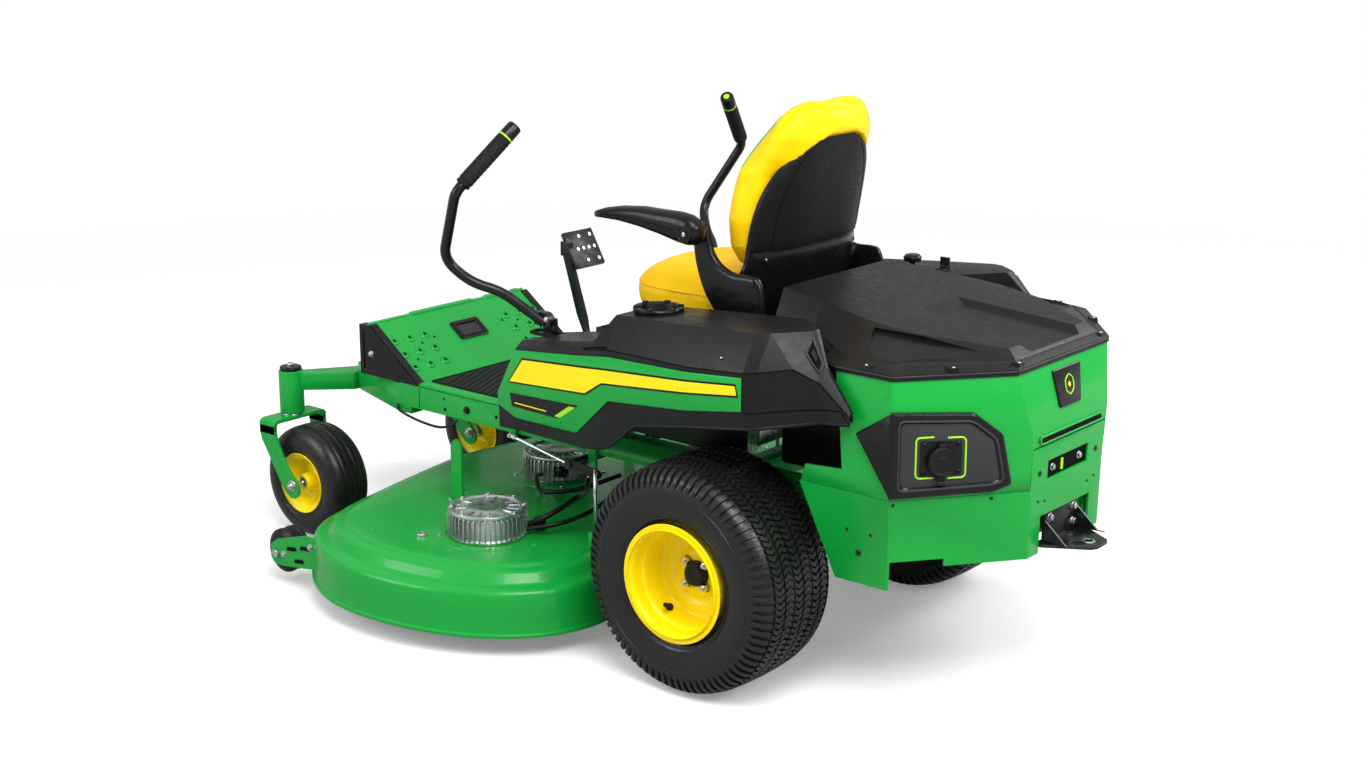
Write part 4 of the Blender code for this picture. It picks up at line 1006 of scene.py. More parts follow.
def inflate(obj, cap, floor=None, rear=None):
    """Swells a cushion, moving no point further than cap, below floor or behind rear(x, z)."""
    remesh = obj.modifiers.new("remesh", "REMESH")
    remesh.mode, remesh.voxel_size = "VOXEL", VOXEL
    settle(obj)
    moved = rest = np.array([v.co for v in obj.data.vertices], float)
    travel = swell(obj) - rest
    edges = np.array([e.vertices[:] for e in obj.data.edges])
    many = np.maximum(np.bincount(edges.ravel(), minlength=len(travel)), 1)[:, None]
    for _ in range(SMOOTHING):
        near = np.zeros_like(travel)
        np.add.at(near, edges[:, 0], travel[edges[:, 1]])
        np.add.at(near, edges[:, 1], travel[edges[:, 0]])
        travel = travel * .4 + near / many * .6
    length = np.linalg.norm(travel, axis=1)
    travel *= np.minimum(1.0, cap / np.maximum(length, 1e-9))[:, None]
    moved = rest + travel
    if floor is not None:
        moved[:, 2] = np.maximum(moved[:, 2], floor)
    if rear is not None:
        limit = rear(moved[:, 0] - DATUM_X, moved[:, 2]) + DATUM_Y
        moved[:, 1] = np.minimum(moved[:, 1], limit)
    obj.data.vertices.foreach_set("co", moved.astype(np.float32).ravel())
    obj.data.update()
    smooth = obj.modifiers.new("sub", "SUBSURF")
    smooth.levels = smooth.render_levels = 1
    obj.data.shade_smooth()


low, high = local("seat_cushion")
SEAT_X, SEAT_Y = (low.x + high.x) / 2, (low.y + high.y) / 2
# z, half width, half length
SEAT_LEVELS = [(.7225, .188, .178), (.729, .2, .19), (.745, .207, .197), (.77, .209, .199),
               (.79, .205, .194), (.801, .192, .182), (.806, .176, .166), (.808, .15, .142)]
part = Build()
part.rings([oval(SEAT_X, SEAT_Y, half_x, half_y, z, 96, 2.9)
            for z, half_x, half_y in SEAT_LEVELS], "vinyl_yellow")
cushion = part.make("seat_pad", "seat", "seat_cushion", smooth=180)
inflate(cushion, .02, floor=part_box("seat_cushion")[0].z + .0005)


def panel_y(z):
    """The leaning line of the black panel behind the seat back."""
    return -.037 + (z - .822) * .174


def panel_half(z):
    """That panel's half width, closing in an arch at the top."""
    share = np.clip((z - .9) / .25, 0, .9995)
    return .197 * np.sqrt(1 - share ** 3) + np.clip(.872 - z, 0, 1) * .22


def panel_face(x, z):
    """The panel's outer face: upright in the middle, curling forward at its sides."""
    return panel_y(z) - .046 * (np.abs(x) / .197) ** 3.2


def on_panel(x, z, out):
    return Vector((x, float(panel_face(x, z)) + out, z))


def cushion_limit(x, z):
    """How far back the cushion may reach: just under the panel, free beyond its edge."""
    edge = np.clip((np.abs(x) - panel_half(z) + .012) / .01, 0, 1)
    edge = np.maximum(edge, np.clip((z - 1.138) / .012, 0, 1))
    return panel_face(x, z) - .0045 + edge * .03


# z, half width, thickness
BACK_LEVELS = [
    (.846, .15, .05), (.862, .174, .078), (.9, .197, .098), (.96, .208, .108),
    (1.01, .206, .108), (1.06, .199, .103), (1.11, .188, .096), (1.15, .174, .088),
    (1.18, .156, .076), (1.204, .13, .06), (1.218, .1, .042), (1.224, .072, .028)]
levels = []
for z, half, thick in BACK_LEVELS:
    over = min(1.0, max(0.0, (z - 1.06) / .090))
    rear = panel_y(z) - .030 + .028 * over * over * (3 - 2 * over)
    levels.append(oval(0, rear - thick / 2, half, thick / 2, z, 96, 3.2))
part = Build()
part.rings(levels, "vinyl_yellow")
back_pad = part.make("seat_back_pad", "seat", "seat_back_cushion", smooth=180)
inflate(back_pad, .016, rear=cushion_limit)

# ---------------------------------------------------------------- consoles
# Sections of the left console: y, top z, top outer x, crease x, crease z, foot z.
STATIONS = [
    (-.64, .545, .388, .3955, .537, .447), (-.572, .66, .384, .404, .648, .452),
    (-.34, .7, .424, .442, .686, .464), (-.315, .706, .427, .445, .692, .468),
    (-.255, .772, .422, .452, .7, .482), (-.165, .779, .434, .468, .706, .55),
    (0, .791, .455, .496, .714, .585), (.15, .802, .462, .504, .727, .61),
    (.18, .804, .45, .496, .731, .614), (.24, .808, .395, .456, .741, .624),
    (.286, .745, .412, .429, .715, .632), (.352, .662, .413, .419, .655, .637)]
TOP_Z, TOP_X, CREASE_X, CREASE_Z, FOOT_Z = range(1, 6)
STATION_Y = [row[0] for row in STATIONS]


def station(y, column):
    return float(np.interp(y, STATION_Y, [row[column] for row in STATIONS]))


def flank(y, z, out):
    """A point over the console's outer face."""
    top_z, top_x, crease_x, crease_z = (station(y, column) for column in range(1, 5))
    x = crease_x
    if z > crease_z:
        x = top_x + (crease_x - top_x) * (top_z - z) / max(top_z - crease_z, 1e-6)
    return Vector((x + out, y, z))


def breaks(start, end, extra=()):
    """Both ends and every station or extra y between them."""
    return sorted({start, end, *[y for y in (*extra, *STATION_Y) if start < y < end]})


def strip(part, low, high, under, over, mat):
    """A thin plate on the flank between two lines of (y, z), from under to over it."""
    (low_y, low_z), (high_y, high_z) = zip(*low), zip(*high)
    rows = []
    for y in breaks(max(low_y[0], high_y[0]), min(low_y[-1], high_y[-1]), (*low_y, *high_y)):
        foot, top = float(np.interp(y, low_y, low_z)), float(np.interp(y, high_y, high_z))
        rows.append([flank(y, foot, under), flank(y, foot, over), flank(y, top, over),
                     flank(y, top, under)])
    part.rings(rows, mat)


def groove_shade(part, line, radius):
    """A fine dark line of painted shade over the flank, standing in for a groove, through points
    of (y, z).
    """
    along, heights = zip(*line)
    part.tube([flank(y, float(np.interp(y, along, heights)), .0002)
               for y in breaks(along[0], along[-1], along)], radius, "dark", 8)


# Lower line, upper line, under and over the flank, material.
STRIPES = [
    ([(-.5985, .562), (-.593, .56), (-.322, .588), (-.269, .621), (.144, .6765)],
     [(-.5985, .564), (-.547, .6275), (.137, .7035), (.144, .6785)],
     .0046, .0053, "decal_black"),
    ([(-.593, .564), (-.3235, .592), (-.2705, .625), (.1395, .6805)],
     [(-.593, .5655), (-.545, .623), (.1345, .699), (.1395, .682)],
     .005, .006, "decal_yellow"),
    ([(-.594, .534), (-.586, .506), (-.422, .513), (-.348, .5565)],
     [(-.594, .5365), (-.348, .558)], .0046, .0055, "decal_black"),
    ([(-.429, .516), (-.408, .518), (-.358, .551)],
     [(-.429, .5175), (-.379, .55), (-.358, .552)], .005, .0061, "lime"),
    ([(-.576, .515), (-.46, .52)], [(-.576, .5175), (-.46, .5225)],
     .005, .006, "decal_yellow")]
# Corners of the console's rear slope: top inner, bottom inner, top outer, bottom outer.
SLOPE = [Vector(p) for p in ((.395, .24, .808), (.412, .286, .745), (.456, .24, .741),
                             (.429, .286, .715))]


def slope(across, down, out):
    """A point over the rear slope, from shares of its width and height."""
    top_in, low_in, top_out, low_out = SLOPE
    p = top_in.lerp(low_in, down).lerp(top_out.lerp(low_out, down), across)
    normal = (low_in - top_in).cross(top_out - top_in).normalized()
    return p + (normal if normal.y > 0 else -normal) * out


def lip(y, inwards):
    """A point of the console's lower edge."""
    return station(y, CREASE_X) - inwards, y, station(y, FOOT_Z) + .001


def console_trim(side):
    part = Build()
    edge = [lip(y, .0028) for y in breaks(-.338, .35, (-.2, -.12, -.05, .05, .1, .21, .26, .32))]
    part.tube(spline(edge, 3), .004, "plastic_black")
    part.tube([lip(y, .0024) for y in (-.636, -.604, -.572, -.48, -.4, -.342)], .0034,
              "plastic_black", 12)
    for y in (-.02, .1):
        x, z = station(y, CREASE_X), station(y, FOOT_Z)
        web = [(x - .024, z + .002), (x - .0042, z + .002), (x - .006, z + .05),
               (x - .024, z + .05)]
        part.slab([(a, y - .0015, b) for a, b in web], (0, .003, 0), "plastic_black")
    part.dome(flank(.085, .746, -.0004), (1, 0, .55), .0062, "gloss_black")
    part.dome(flank(.085, .746, .0016), (1, 0, .55), .003, "steel")
    part.dome(flank(.335, .652, -.0004), (1, .4, .2), .0042, "gloss_black")
    # latch in a framed slot on the rear slope; the slot's inside is a dark plate of painted shade
    opening = [(.1, .2), (.42, .2), (.5, .8), (.14, .8)]
    part.stack(slope, [(opening, -.003), (opening, .0012)], "dark")
    border = [slope(a, b, .001) for a, b in ((.05, .12), (.48, .12), (.58, .9), (.09, .9))]
    part.tube(near_corners(border, .08), .002, "plastic_grey", 8, loop=True)
    latch = [(.18, .34), (.36, .34), (.38, .62), (.2, .62)]
    part.stack(slope, [(latch, 0), (latch, .0034)], "rubber")
    # bezel round the lever's slot, clear of the bracket at both ends of its travel
    part.rings([oval(.306, -.56, .013 + grow, .044 + grow, .659 + rise, 48, 4)
                for grow, rise in ((0, 0), (0, .006), (.0015, .0068), (.006, .0068),
                                   (.009, .005), (.0095, 0))], "rubber", loop=True)
    part.make("console_trim_{}", "frame", side=side, bevel=.0004, smooth=40)


for side in SIDES:
    part = Build()
    for stripe in STRIPES:
        strip(part, *stripe)
    part.make("side_stripe_{}", "frame", side=side, smooth=30)

    part = Build()
    # grooves drawn as dark lines of painted shade, not cut into the flank
    groove_shade(part, [(y, station(y, CREASE_Z) - .0004) for y in
                (-.33, -.315, -.255, -.165, 0, .15, .18, .24, .286, .35)], .0014)
    groove_shade(part, [(.156, .644), (.24, .656), (.3, .662), (.333, .664), (.348, .645)], .0016)
    groove_shade(part, [(-.338, .688), (-.3, .698), (-.262, .704)], .0012)
    part.make("console_grooves_{}", "frame", side=side, smooth=60)
    console_trim(side)

# cup holder's ring, with tabs and a mat in its bottom
rim_z = local("cup_holder")[1].z
cup = centre("cup_holder")
cup_axis = (cup.x, cup.y, 0)
part = Build()
part.lathe([(rim_z - .006, .0555), (rim_z - .0006, .056), (rim_z + .0016, .0545),
            (rim_z + .0022, .05), (rim_z + .001, .044), (rim_z - .006, .042),
            (rim_z - .05, .04), (rim_z - .05, .0412)], cup_axis, UP, "gloss_black", 72,
           loop=True)
for k in range(6):
    turn = 2 * math.pi * k / 6 + .3
    x, y = cup.x + math.cos(turn) * .048, cup.y + math.sin(turn) * .048
    part.block(x - .005, x + .005, y - .005, y + .005, rim_z - .001, rim_z + .005,
               "plastic_black")
part.rod(rim_z - .07, rim_z - .068, .038, cup_axis, UP, "mat")
part.make("cup_ring", "frame", bevel=.0008, smooth=40)

# display, four keys and a knob on the control panel, which faces +x
low, high = local("control_display")
face_x = high.x
part = Build()
part.plate(rect(low.y + .006, high.y - .006, low.z + .004, high.z - .004), face_x - .0002,
           .0012, "plastic_black")
part.plate(rect(-.098, -.03, low.z + .009, high.z - .008), face_x + .0008, .001,
           "decal_black")
for k in range(5):
    y = -.09 + k * .011
    part.plate(rect(y, y + .007, low.z + .013, low.z + .018 + k * .002), face_x + .0016,
               .0006, "lime")
for y in (-.01, .012, .034, .056):
    part.plate(rect(y, y + .015, low.z + .012, high.z - .012), face_x + .0008, .004,
               "plastic_grey")
    part.plate(rect(y + .005, y + .01, low.z + .0165, low.z + .0185), face_x + .0046,
               .0006, "lime")
part.lathe([(0, .0105), (.006, .01), (.0075, .0085), (.008, .005), (.008, 0)],
           (face_x + .0004, .092, (low.z + high.z) / 2), X_AXIS, "aluminium", 32)
part.make("console_controls", "frame", bevel=.0007, smooth=40)

part = Build()
for node, y, radii in (("key_switch", .08, (.0225, .022, .02, .0145, .0145)),
                       ("pto_knob", -.01, (.03, .0295, .027, .009, .009))):
    foot = local(node)[0].z
    rises = (-.001, .0004, .0016, .0016, -.001)
    part.lathe([(foot + rise, radius) for rise, radius in zip(rises, radii)],
               (-.36, y, 0), UP, "gloss_black", 48, loop=True)
for y in (-.11, -.085):
    part.dome((-.372, y, station(y, TOP_Z) - .0006), UP, .0065, "gloss_black")
part.make("console_bezels", "frame", smooth=40)


# ------------------------------------------------------------- rear cover
def whole_plan(half):
    return half + [(-x, y) for x, y in half[::-1]]


# Outlines of the cover's edge and of its raised top: x, y.
RIM_PLAN = whole_plan([(.262, .02), (.278, .135), (.36, .236), (.392, .298), (.3925, .433),
                       (.1885, .596)])
PLATEAU = whole_plan([(.205, .03), (.215, .14), (.24, .245), (.246, .3), (.232, .4),
                      (.155, .552)])


def cover_z(y):
    """Height of the raised top, sloping down to the rear."""
    return .778 + (.552 - y) * .115


def rim_at(z, inwards):
    return [(x - math.copysign(min(inwards, abs(x)), x),
             y - inwards * (1 if y > .3 else -1) * .8, z) for x, y in RIM_PLAN]


def carve_cover(rings):
    tool = Build()
    tool.rings(rings, "plastic_black")
    carve(cover, tool.make("carving_tool", "frame"))


foot_ring, top_ring = rim_at(.7535, .014), [(x, y, cover_z(y)) for x, y in PLATEAU]
step_ring, after_ring = ([tuple(Vector(a).lerp(Vector(b), share))
                          for a, b in zip(foot_ring, top_ring)] for share in (.16, .2))
groove_ring = [(x, y, z - .0022) for x, y, z in step_ring]
part = Build()
part.rings([rim_at(.7356, 0), rim_at(.748, 0), foot_ring, step_ring, groove_ring, after_ring,
            top_ring], "plastic_black")
cover = part.make("cover_lid", "frame", "rear_cover", smooth=28)
# a channel that widens to the rear, then a flat on each rear corner
carve_cover([
    [(x, y, cover_z(y) - .012) for x, y in
     ((-.06, .316), (.06, .316), (.116, .66), (-.116, .66))],
    [(x, y, cover_z(y) + .008) for x, y in
     ((-.084, .276), (.084, .276), (.142, .66), (-.142, .66))]])
CORNER_FLAT = [Vector(p) for p in ((.258, .3, .7965), (.33, .325, .769),
                                   (.332, .42, .7665), (.196, .548, .774))]
normal = (CORNER_FLAT[1] - CORNER_FLAT[0]).cross(CORNER_FLAT[2] - CORNER_FLAT[0]).normalized()
normal = normal if normal.z > 0 else -normal
for sign in (1, -1):
    carve_cover([[(sign * p.x, p.y, p.z) for p in [q + normal * rise for q in CORNER_FLAT]]
                 for rise in (-.003, .03)])
add_bevel(cover, .0022, 3, 14)
shade(cover.data, 30)

part = Build()
part.tube(near_corners([Vector((x, y, .744)) for x, y in RIM_PLAN], .02), .0018,
          "plastic_grey", 8, loop=True)
# clips on the cover's edge: place, then the direction of the edge there
for x, y, along_x, along_y in ((.2905, .509, -.78, .62), (.17, .588, -1, 0),
                               (.386, .365, 0, 1)):
    for sign in (1, -1):
        along = Vector((sign * along_x, along_y, 0)).normalized()
        outward = Vector((sign * x, y - .3, 0))
        outward = (outward - along * outward.dot(along)).normalized()
        at = Vector((sign * x, y, .75))
        clip = [(-.018, -.014), (.018, -.014), (.011, .0045), (-.011, .0045)]
        part.rings([
            [at + along * a + outward * (b + .0005) + Vector((0, 0, -.004)) for a, b in clip],
            [at + along * a * .82 + outward * (b * .9 - .001) + Vector((0, 0, .0075))
             for a, b in clip]], "gloss_black")
        part.dome(at - outward * .003 + Vector((0, 0, .007)), UP, .0042, "steel")
part.make("cover_clips", "frame", bevel=.001, smooth=40)

# ---------------------------------------------------- rear quarter, charging
QUARTER_SIDE = Vector((.39, .432, 0))
# The rear corner of the left quarter: heights, then x and y at each.
CORNER_Z = (.3, .49, .61, .735)
CORNER_X = (.149, .15, .157, .187)
CORNER_Y = (.613, .615, .617, .593)
QUARTER_LENGTH = .299
# The charging panel: distance from the side corner, z.
CHARGE = [(-.003, .6745), (.18, .6665), (.233, .62), (.254, .512), (.215, .4985),
          (-.003, .4965)]
PORT_A, PORT_Z = .102, .576  # the port's middle, in the same measures


def quarter(share, z, out):
    """A point over the rear quarter, share going from the side corner to the rear one."""
    rear_x, rear_y = np.interp(z, CORNER_Z, CORNER_X), np.interp(z, CORNER_Z, CORNER_Y)
    rear_x, rear_y = float(rear_x), float(rear_y)
    side_x, side_y, _ = QUARTER_SIDE
    normal = Vector((rear_y - side_y, side_x - rear_x, 0)).normalized()
    return Vector((side_x + share * (rear_x - side_x), side_y + share * (rear_y - side_y),
                   z)) + normal * out


def on_quarter(along, z, out):
    return quarter(along / QUARTER_LENGTH, z, out)


def charge_outline(amount, radii, steps):
    return soften(shrink(CHARGE, amount), radii, steps)


part = Build()
layers = []
for amount, out in ((0, .0032), (0, .0098), (.0045, .0135), (.017, .0135), (.0215, .0088)):
    radii = [.002 + amount * .3] + [.006 + amount * .5] * 4 + [.002 + amount]
    layers.append((charge_outline(amount, radii, 4), out))
part.stack(on_quarter, layers, "gloss_black")
# the triangle that carries the panel round onto the body's side
wedge = [(.354, .618), (.4395, .6745), (.4395, .4965)]
part.stack(lambda y, z, out: (QUARTER_SIDE.x + out, y, z),
           [(soften(shrink(wedge, amount), .003, 3), out)
            for amount, out in ((0, .0032), (0, .008), (.004, .011))], "gloss_black")
# a raised bead round the inner recess, coloured grey as a painted highlight on its rounded edge
part.tube([on_quarter(*p, .0128) for p in charge_outline(.0165, [.012] * 6, 5)], .0026,
          "plastic_grey", 10, loop=True)
part.stack(on_quarter, [(charge_outline(.0215, [.012] * 6, 5), .0094),
                        (charge_outline(.0235, [.012] * 6, 5), .0101)], "plastic_grey")
part.make("charge_bezel", "frame", "charge_panel", bevel=.001, smooth=40)


def around_port(corners, radius, steps):
    """A rounded outline from corners measured from the port's middle."""
    return soften([(PORT_A + a, PORT_Z + b) for a, b in corners], radius, steps)


# a lime line round the port, open above and below
part = Build()
outline = around_port([(-.052, .045), (.052, .042), (.052, -.042), (-.052, -.039)], .01, 6)
for sign in (1, -1):
    path = [p for p in outline if sign * (p[0] - PORT_A) > .015]
    path.sort(key=lambda p: math.atan2(p[1] - PORT_Z, sign * (p[0] - PORT_A)))
    end = PORT_A + sign * .0145
    path = [(end, path[0][1])] + path + [(end, path[-1][1])]
    part.tube([on_quarter(*p, .0095) for p in path], .002, "lime", 10)
part.make("charge_outline", "frame", smooth=60)

part = Build()
outline = around_port([(-.044, .038), (.044, .036), (.044, -.036), (-.044, -.035)], .007, 5)
part.stack(on_quarter, [(outline, .007), (outline, .0106)], "plastic_black")
quarter_out = (quarter(.34, .572, 1) - quarter(.34, .572, 0)).normalized()
# screw heads, each socket a small dark dot of painted shade
for a in (PORT_A - .036, PORT_A + .036):
    for z in (PORT_Z - .029, PORT_Z + .029):
        part.dome(on_quarter(a, z, .0104), quarter_out, .0058, "gloss_black")
        part.dome(on_quarter(a, z, .0124), quarter_out, .0024, "dark")
part.make("charge_port_plate", "frame", bevel=.0007, smooth=40)

cap_centre = quarter(.34, .572, .014)
quarter_along = Vector((-quarter_out.y, quarter_out.x, 0))


def on_cap(along, rise, out):
    return cap_centre + quarter_along * along + Vector((0, 0, rise)) + quarter_out * out


part = Build()
part.lathe([(0, 0), (0, .029), (.002, .03), (.008, .03), (.0105, .0285), (.0112, .0255),
            (.01, .0235), (.01, .011), (.011, .0095), (.011, 0)], cap_centre, quarter_out,
           "plastic_black", 56)
strap = [(-.007, -.0455), (.007, -.0455), (.008, -.04), (.0065, -.024), (-.0065, -.024),
         (-.008, -.04)]
part.stack(on_cap, [(strap, .001), (strap, .0052)], "rubber")
tab = [(-.009, .027), (.009, .027), (.007, .0375), (-.007, .0375)]
part.stack(on_cap, [(tab, .002), (tab, .008)], "plastic_black")
part.tube([on_cap(a, -.044, .0044) for a in (-.0085, .0085)], .003, "gloss_black", 12)
part.make("charge_cap", "charge_port_cap", "charge_port_cap", bevel=.0007, smooth=40)

# ----------------------------------------------------- rear body fittings
REAR_FOOT_Y, REAR_FOOT_Z = Vector((.617, .61))
REAR_UP = Vector((0, -.024, .125)).normalized()
REAR_OUT = Vector((0, REAR_UP.z, -REAR_UP.y))


def on_rear(x, z, out):
    """A point over the body's leaning rear face."""
    return (Vector((x, REAR_FOOT_Y, REAR_FOOT_Z)) + REAR_UP * ((z - REAR_FOOT_Z) / REAR_UP.z)
            + REAR_OUT * out)


part = Build()
badge = soften([(-.058, .72), (.058, .72), (.043, .64), (-.043, .64)], .007)
part.stack(on_rear, [(shrink(badge, 0), -.001), (shrink(badge, 0), .003),
                     (shrink(badge, .0025), .005)], "gloss_black")
turns = [math.pi / 6 + k * math.pi / 3 for k in range(6)]
hexagon = [(.0185 * math.cos(turn), .682 + .0215 * math.sin(turn)) for turn in turns]
part.tube([on_rear(x, z, .0056) for x, z in soften(hexagon, .004, 3)], .0014, "lime", 8,
          loop=True)
diamond = [(-.0055, .682), (0, .6885), (.0055, .682), (0, .6755)]
part.stack(on_rear, [(diamond, .0048), (diamond, .006)], "decal_yellow")
# a long hole with a pressed lip round it; the hole is a dark sheet of painted shade
hole = soften(rect(-.126, .126, .586, .596)[::-1][:1] + [(.126, .596), (.126, .586),
                                                         (-.126, .586)], .0048)
lip_outline = shrink(hole, -.004)
part.stack(on_rear, [(lip_outline, -.0012), (lip_outline, .0004),
                     (shrink(hole, -.0018), .0014), (hole, .0008), (hole, -.0012)],
           "paint_green", loop=True)
part.stack(on_rear, [(hole, -.0014), (hole, .0002)], "dark")
for sign in (1, -1):
    part.dome((sign * .118, .6152, .52), Y_AXIS, .0065)
    # small holes as dark dots of painted shade
    part.dome((sign * .118, .615, .46), Y_AXIS, .003, "dark")
    part.dome((sign * .09, .6146, .455), Y_AXIS, .003, "dark")
    part.bolt((sign * .056, .609, .519), Y_AXIS, .0062)
part.block(-.08, .08, .606, .6095, .503, .537, "dark")
part.block(.015, .023, .6095, .6125, .506, .53, "lime")
for sign in (1, -1):
    for share in (.032, .72):
        p = quarter(share, .4815, -.0006)
        part.dome((sign * p.x, p.y, p.z), (sign * quarter_out.x, quarter_out.y, 0), .0042)
    for y, z, radius in ((.335, .411, .004), (.392, .41, .004), (.364, .367, .007)):
        part.dome((sign * .3896, y, z), (sign, 0, 0), radius)
    p = quarter(.005, .702, 0)
    part.lathe([(-.001, .008), (.0008, .0074), (.0012, .004), (.0004, 0)],
               (sign * (p.x + .0002), p.y - .012, p.z), (sign, 0, 0), "paint_green", 24)
part.make("body_fittings", "frame", bevel=.0005, smooth=40)

# hitch: bolts, gussets, slots and the ring round its hole; the slots are dark plates of painted
# shade
part = Build()
for sign in (1, -1):
    for z in (.374, .408):
        part.bolt((sign * .05, .6066, z), Y_AXIS, .0078)
    part.slab([(sign * x, y, .3585) for x, y in
               ((.07, .601), (.0655, .601), (.0655, .678), (.07, .67))],
              (0, 0, .0015), "steel_black")
    part.slab([(sign * x, y, .359) for x, y in ((.07, .6068), (.066, .6068), (.066, .65))],
              (0, 0, .001), "steel_black")
    part.plate([(.607, .3582), (.66, .3582), (.607, .405)], sign * .0655, sign * .0045,
               "steel_black")
    slot = []
    for k in range(16):
        turn = 2 * math.pi * k / 16
        shift = .01 if k < 4 or k > 12 else -.01
        slot.append((sign * .04 + .0045 * math.cos(turn) + shift,
                     .64 + .0045 * math.sin(turn), .3579))
    part.slab(slot, (0, 0, .0006), "dark")
part.lathe([(.3576, .0092), (.3576, .015), (.359, .0146), (.3592, .0095)], (0, .672, 0), UP,
           "steel", 36, loop=True)
part.make("hitch_fittings", "frame", bevel=.0005, smooth=40)

# ---------------------------------------------------------------- footrest
REST_FOOT_Y, REST_FOOT_Z = Vector((-1.038, .456))
REST_UP = Vector((0, -.166, .123)).normalized()
REST_OUT = Vector((0, REST_UP.z, -REST_UP.y))


def on_rest(x, up, out):
    """A point over the footrest, which slopes up to the front."""
    return Vector((x, REST_FOOT_Y, REST_FOOT_Z)) + REST_UP * up + REST_OUT * out


part = Build()
# pressed rings round holes; every hole here is a dark disc of painted shade
for sign in (1, -1):
    for up in (.14, .094, .048):
        for x in (.252, .2, .148):
            at = on_rest(sign * x, up, 0)
            part.lathe([(-.001, .015), (.0006, .0142), (.003, .0096), (.0042, .0072),
                        (.004, .0056), (.001, .005), (-.001, .005)], at, REST_OUT,
                       "paint_green", 28, loop=True)
            part.rod(-.0008, .0008, .0051, at, REST_OUT, "dark", 20)
    for x, up in ((.262, .116), (.124, .126), (.224, .07), (.174, .116)):
        part.rod(-.0008, .0006, .0034, on_rest(sign * x, up, 0), REST_OUT, "dark", 14)
part.make("footrest_pressings", "frame", smooth=40)


def rest_outline(half, start, end, radius):
    return soften(rect(-half, half, start, end), radius, 6)


part = Build()
outer = rest_outline(.05, .095, .156, .008)
inner = rest_outline(.035, .109, .142, .005)
part.stack(on_rest, [(outer, -.001), (outer, .004),
                     (rest_outline(.047, .098, .153, .007), .0058),
                     (rest_outline(.039, .106, .145, .006), .0058),
                     (inner, .0012), (inner, -.001)], "gloss_black", loop=True)
filling = rest_outline(.0352, .1088, .1422, .005)
part.stack(on_rest, [(filling, -.0008), (filling, .0014)], "plastic_grey")
part.make("footrest_insert", "frame", bevel=.0006, smooth=40)

part = Build()
tip = on_rest(0, .2066, 0)
part.tube([(x, tip.y - .0095, tip.z + .001) for x in (-.2775, -.1, .1, .2775)], .0044,
          "paint_green")
for start, end in ((-.205, -.125), (-.095, .145)):
    part.rings([
        [(x, y, tip.z - .001) for x, y in rect(start, end, tip.y + .001, tip.y - .018)],
        [(x, y, tip.z + .0075) for x, y in
         rect(start + .012, end - .012, tip.y - .001, tip.y - .017)]], "paint_green")
part.block(.2765, .2855, -1.026, -.642, .45, .457, "paint_green")
part.block(-.2855, -.2765, -1.026, -.642, .45, .457, "paint_green")
part.make("floor_edges", "frame", bevel=.0022, segments=3, smooth=40)

part = Build()
cap_outer = [(-1.033, .449), (-1.203, .5765), (-1.243, .5765), (-1.243, .449)]
cap_inner = [(-1.07, .462), (-1.201, .559), (-1.231, .559), (-1.231, .462)]
for sign in (1, -1):
    part.stack(lambda y, z, x: (sign * x, y, z),
               [(cap_outer, .2805), (cap_outer, .2845), (cap_inner, .2845),
                (cap_inner, .2815)], "gloss_black")
    for outline in ([(-1.202, .5745), (-1.244, .5745), (-1.244, .5775), (-1.201, .5775)],
                    [(-1.2405, .449), (-1.2435, .449), (-1.2435, .5775), (-1.2405, .5775)]):
        part.plate(outline, sign * .26, sign * .0245, "gloss_black")
    foot, top = on_rest(0, -.004, .0006), on_rest(0, .206, .0006)
    part.rings([[(sign * x, end.y + back, end.z + rise) for x, end in
                 ((.262, foot), (.2835, foot), (.2835, top), (.262, top))]
                for back, rise in ((0, 0), (.0015, .0022))], "gloss_black")
    part.bolt((sign * .2818, -1.205, .505), (sign, 0, 0), .0062)
part.make("footrest_caps", "frame", bevel=.0008, smooth=40)

# --------------------------------------------------------------- floor mat
MAT_RIGHT, MAT_LEFT, MAT_FRONT, MAT_REAR = -.166, .25, -1.02, -.452
RIB_SLOPE = .42
MAT_MARGIN = .01  # kept clear of ribs at the front and rear
part = Build()
part.block(MAT_RIGHT, MAT_LEFT, MAT_FRONT, MAT_REAR, .4562, .4588, "mat")
y = MAT_FRONT - .12
while y < MAT_REAR:
    right, left = MAT_RIGHT + .008, MAT_LEFT - .008
    right_y, left_y = (y + (x - MAT_RIGHT) * RIB_SLOPE for x in (right, left))
    if right_y < MAT_FRONT + MAT_MARGIN:
        right += (MAT_FRONT + MAT_MARGIN - right_y) / RIB_SLOPE
        right_y = MAT_FRONT + MAT_MARGIN
    if left_y > MAT_REAR - MAT_MARGIN:
        left -= (left_y - MAT_REAR + MAT_MARGIN) / RIB_SLOPE
        left_y = MAT_REAR - MAT_MARGIN
    if left - right > .02:
        part.slab([(right, right_y - .003, .4586), (left, left_y - .003, .4586),
                   (left, left_y + .003, .4586), (right, right_y + .003, .4586)],
                  (0, 0, .0022), "mat")
    y += .019
part.tube([(x, y, .459) for x, y in rect(MAT_RIGHT + .002, MAT_LEFT - .002,
                                         MAT_FRONT + .002, MAT_REAR - .002)],
          .0024, "mat", 8, loop=True)
part.make("floor_mat", "frame", bevel=.0006, smooth=40)

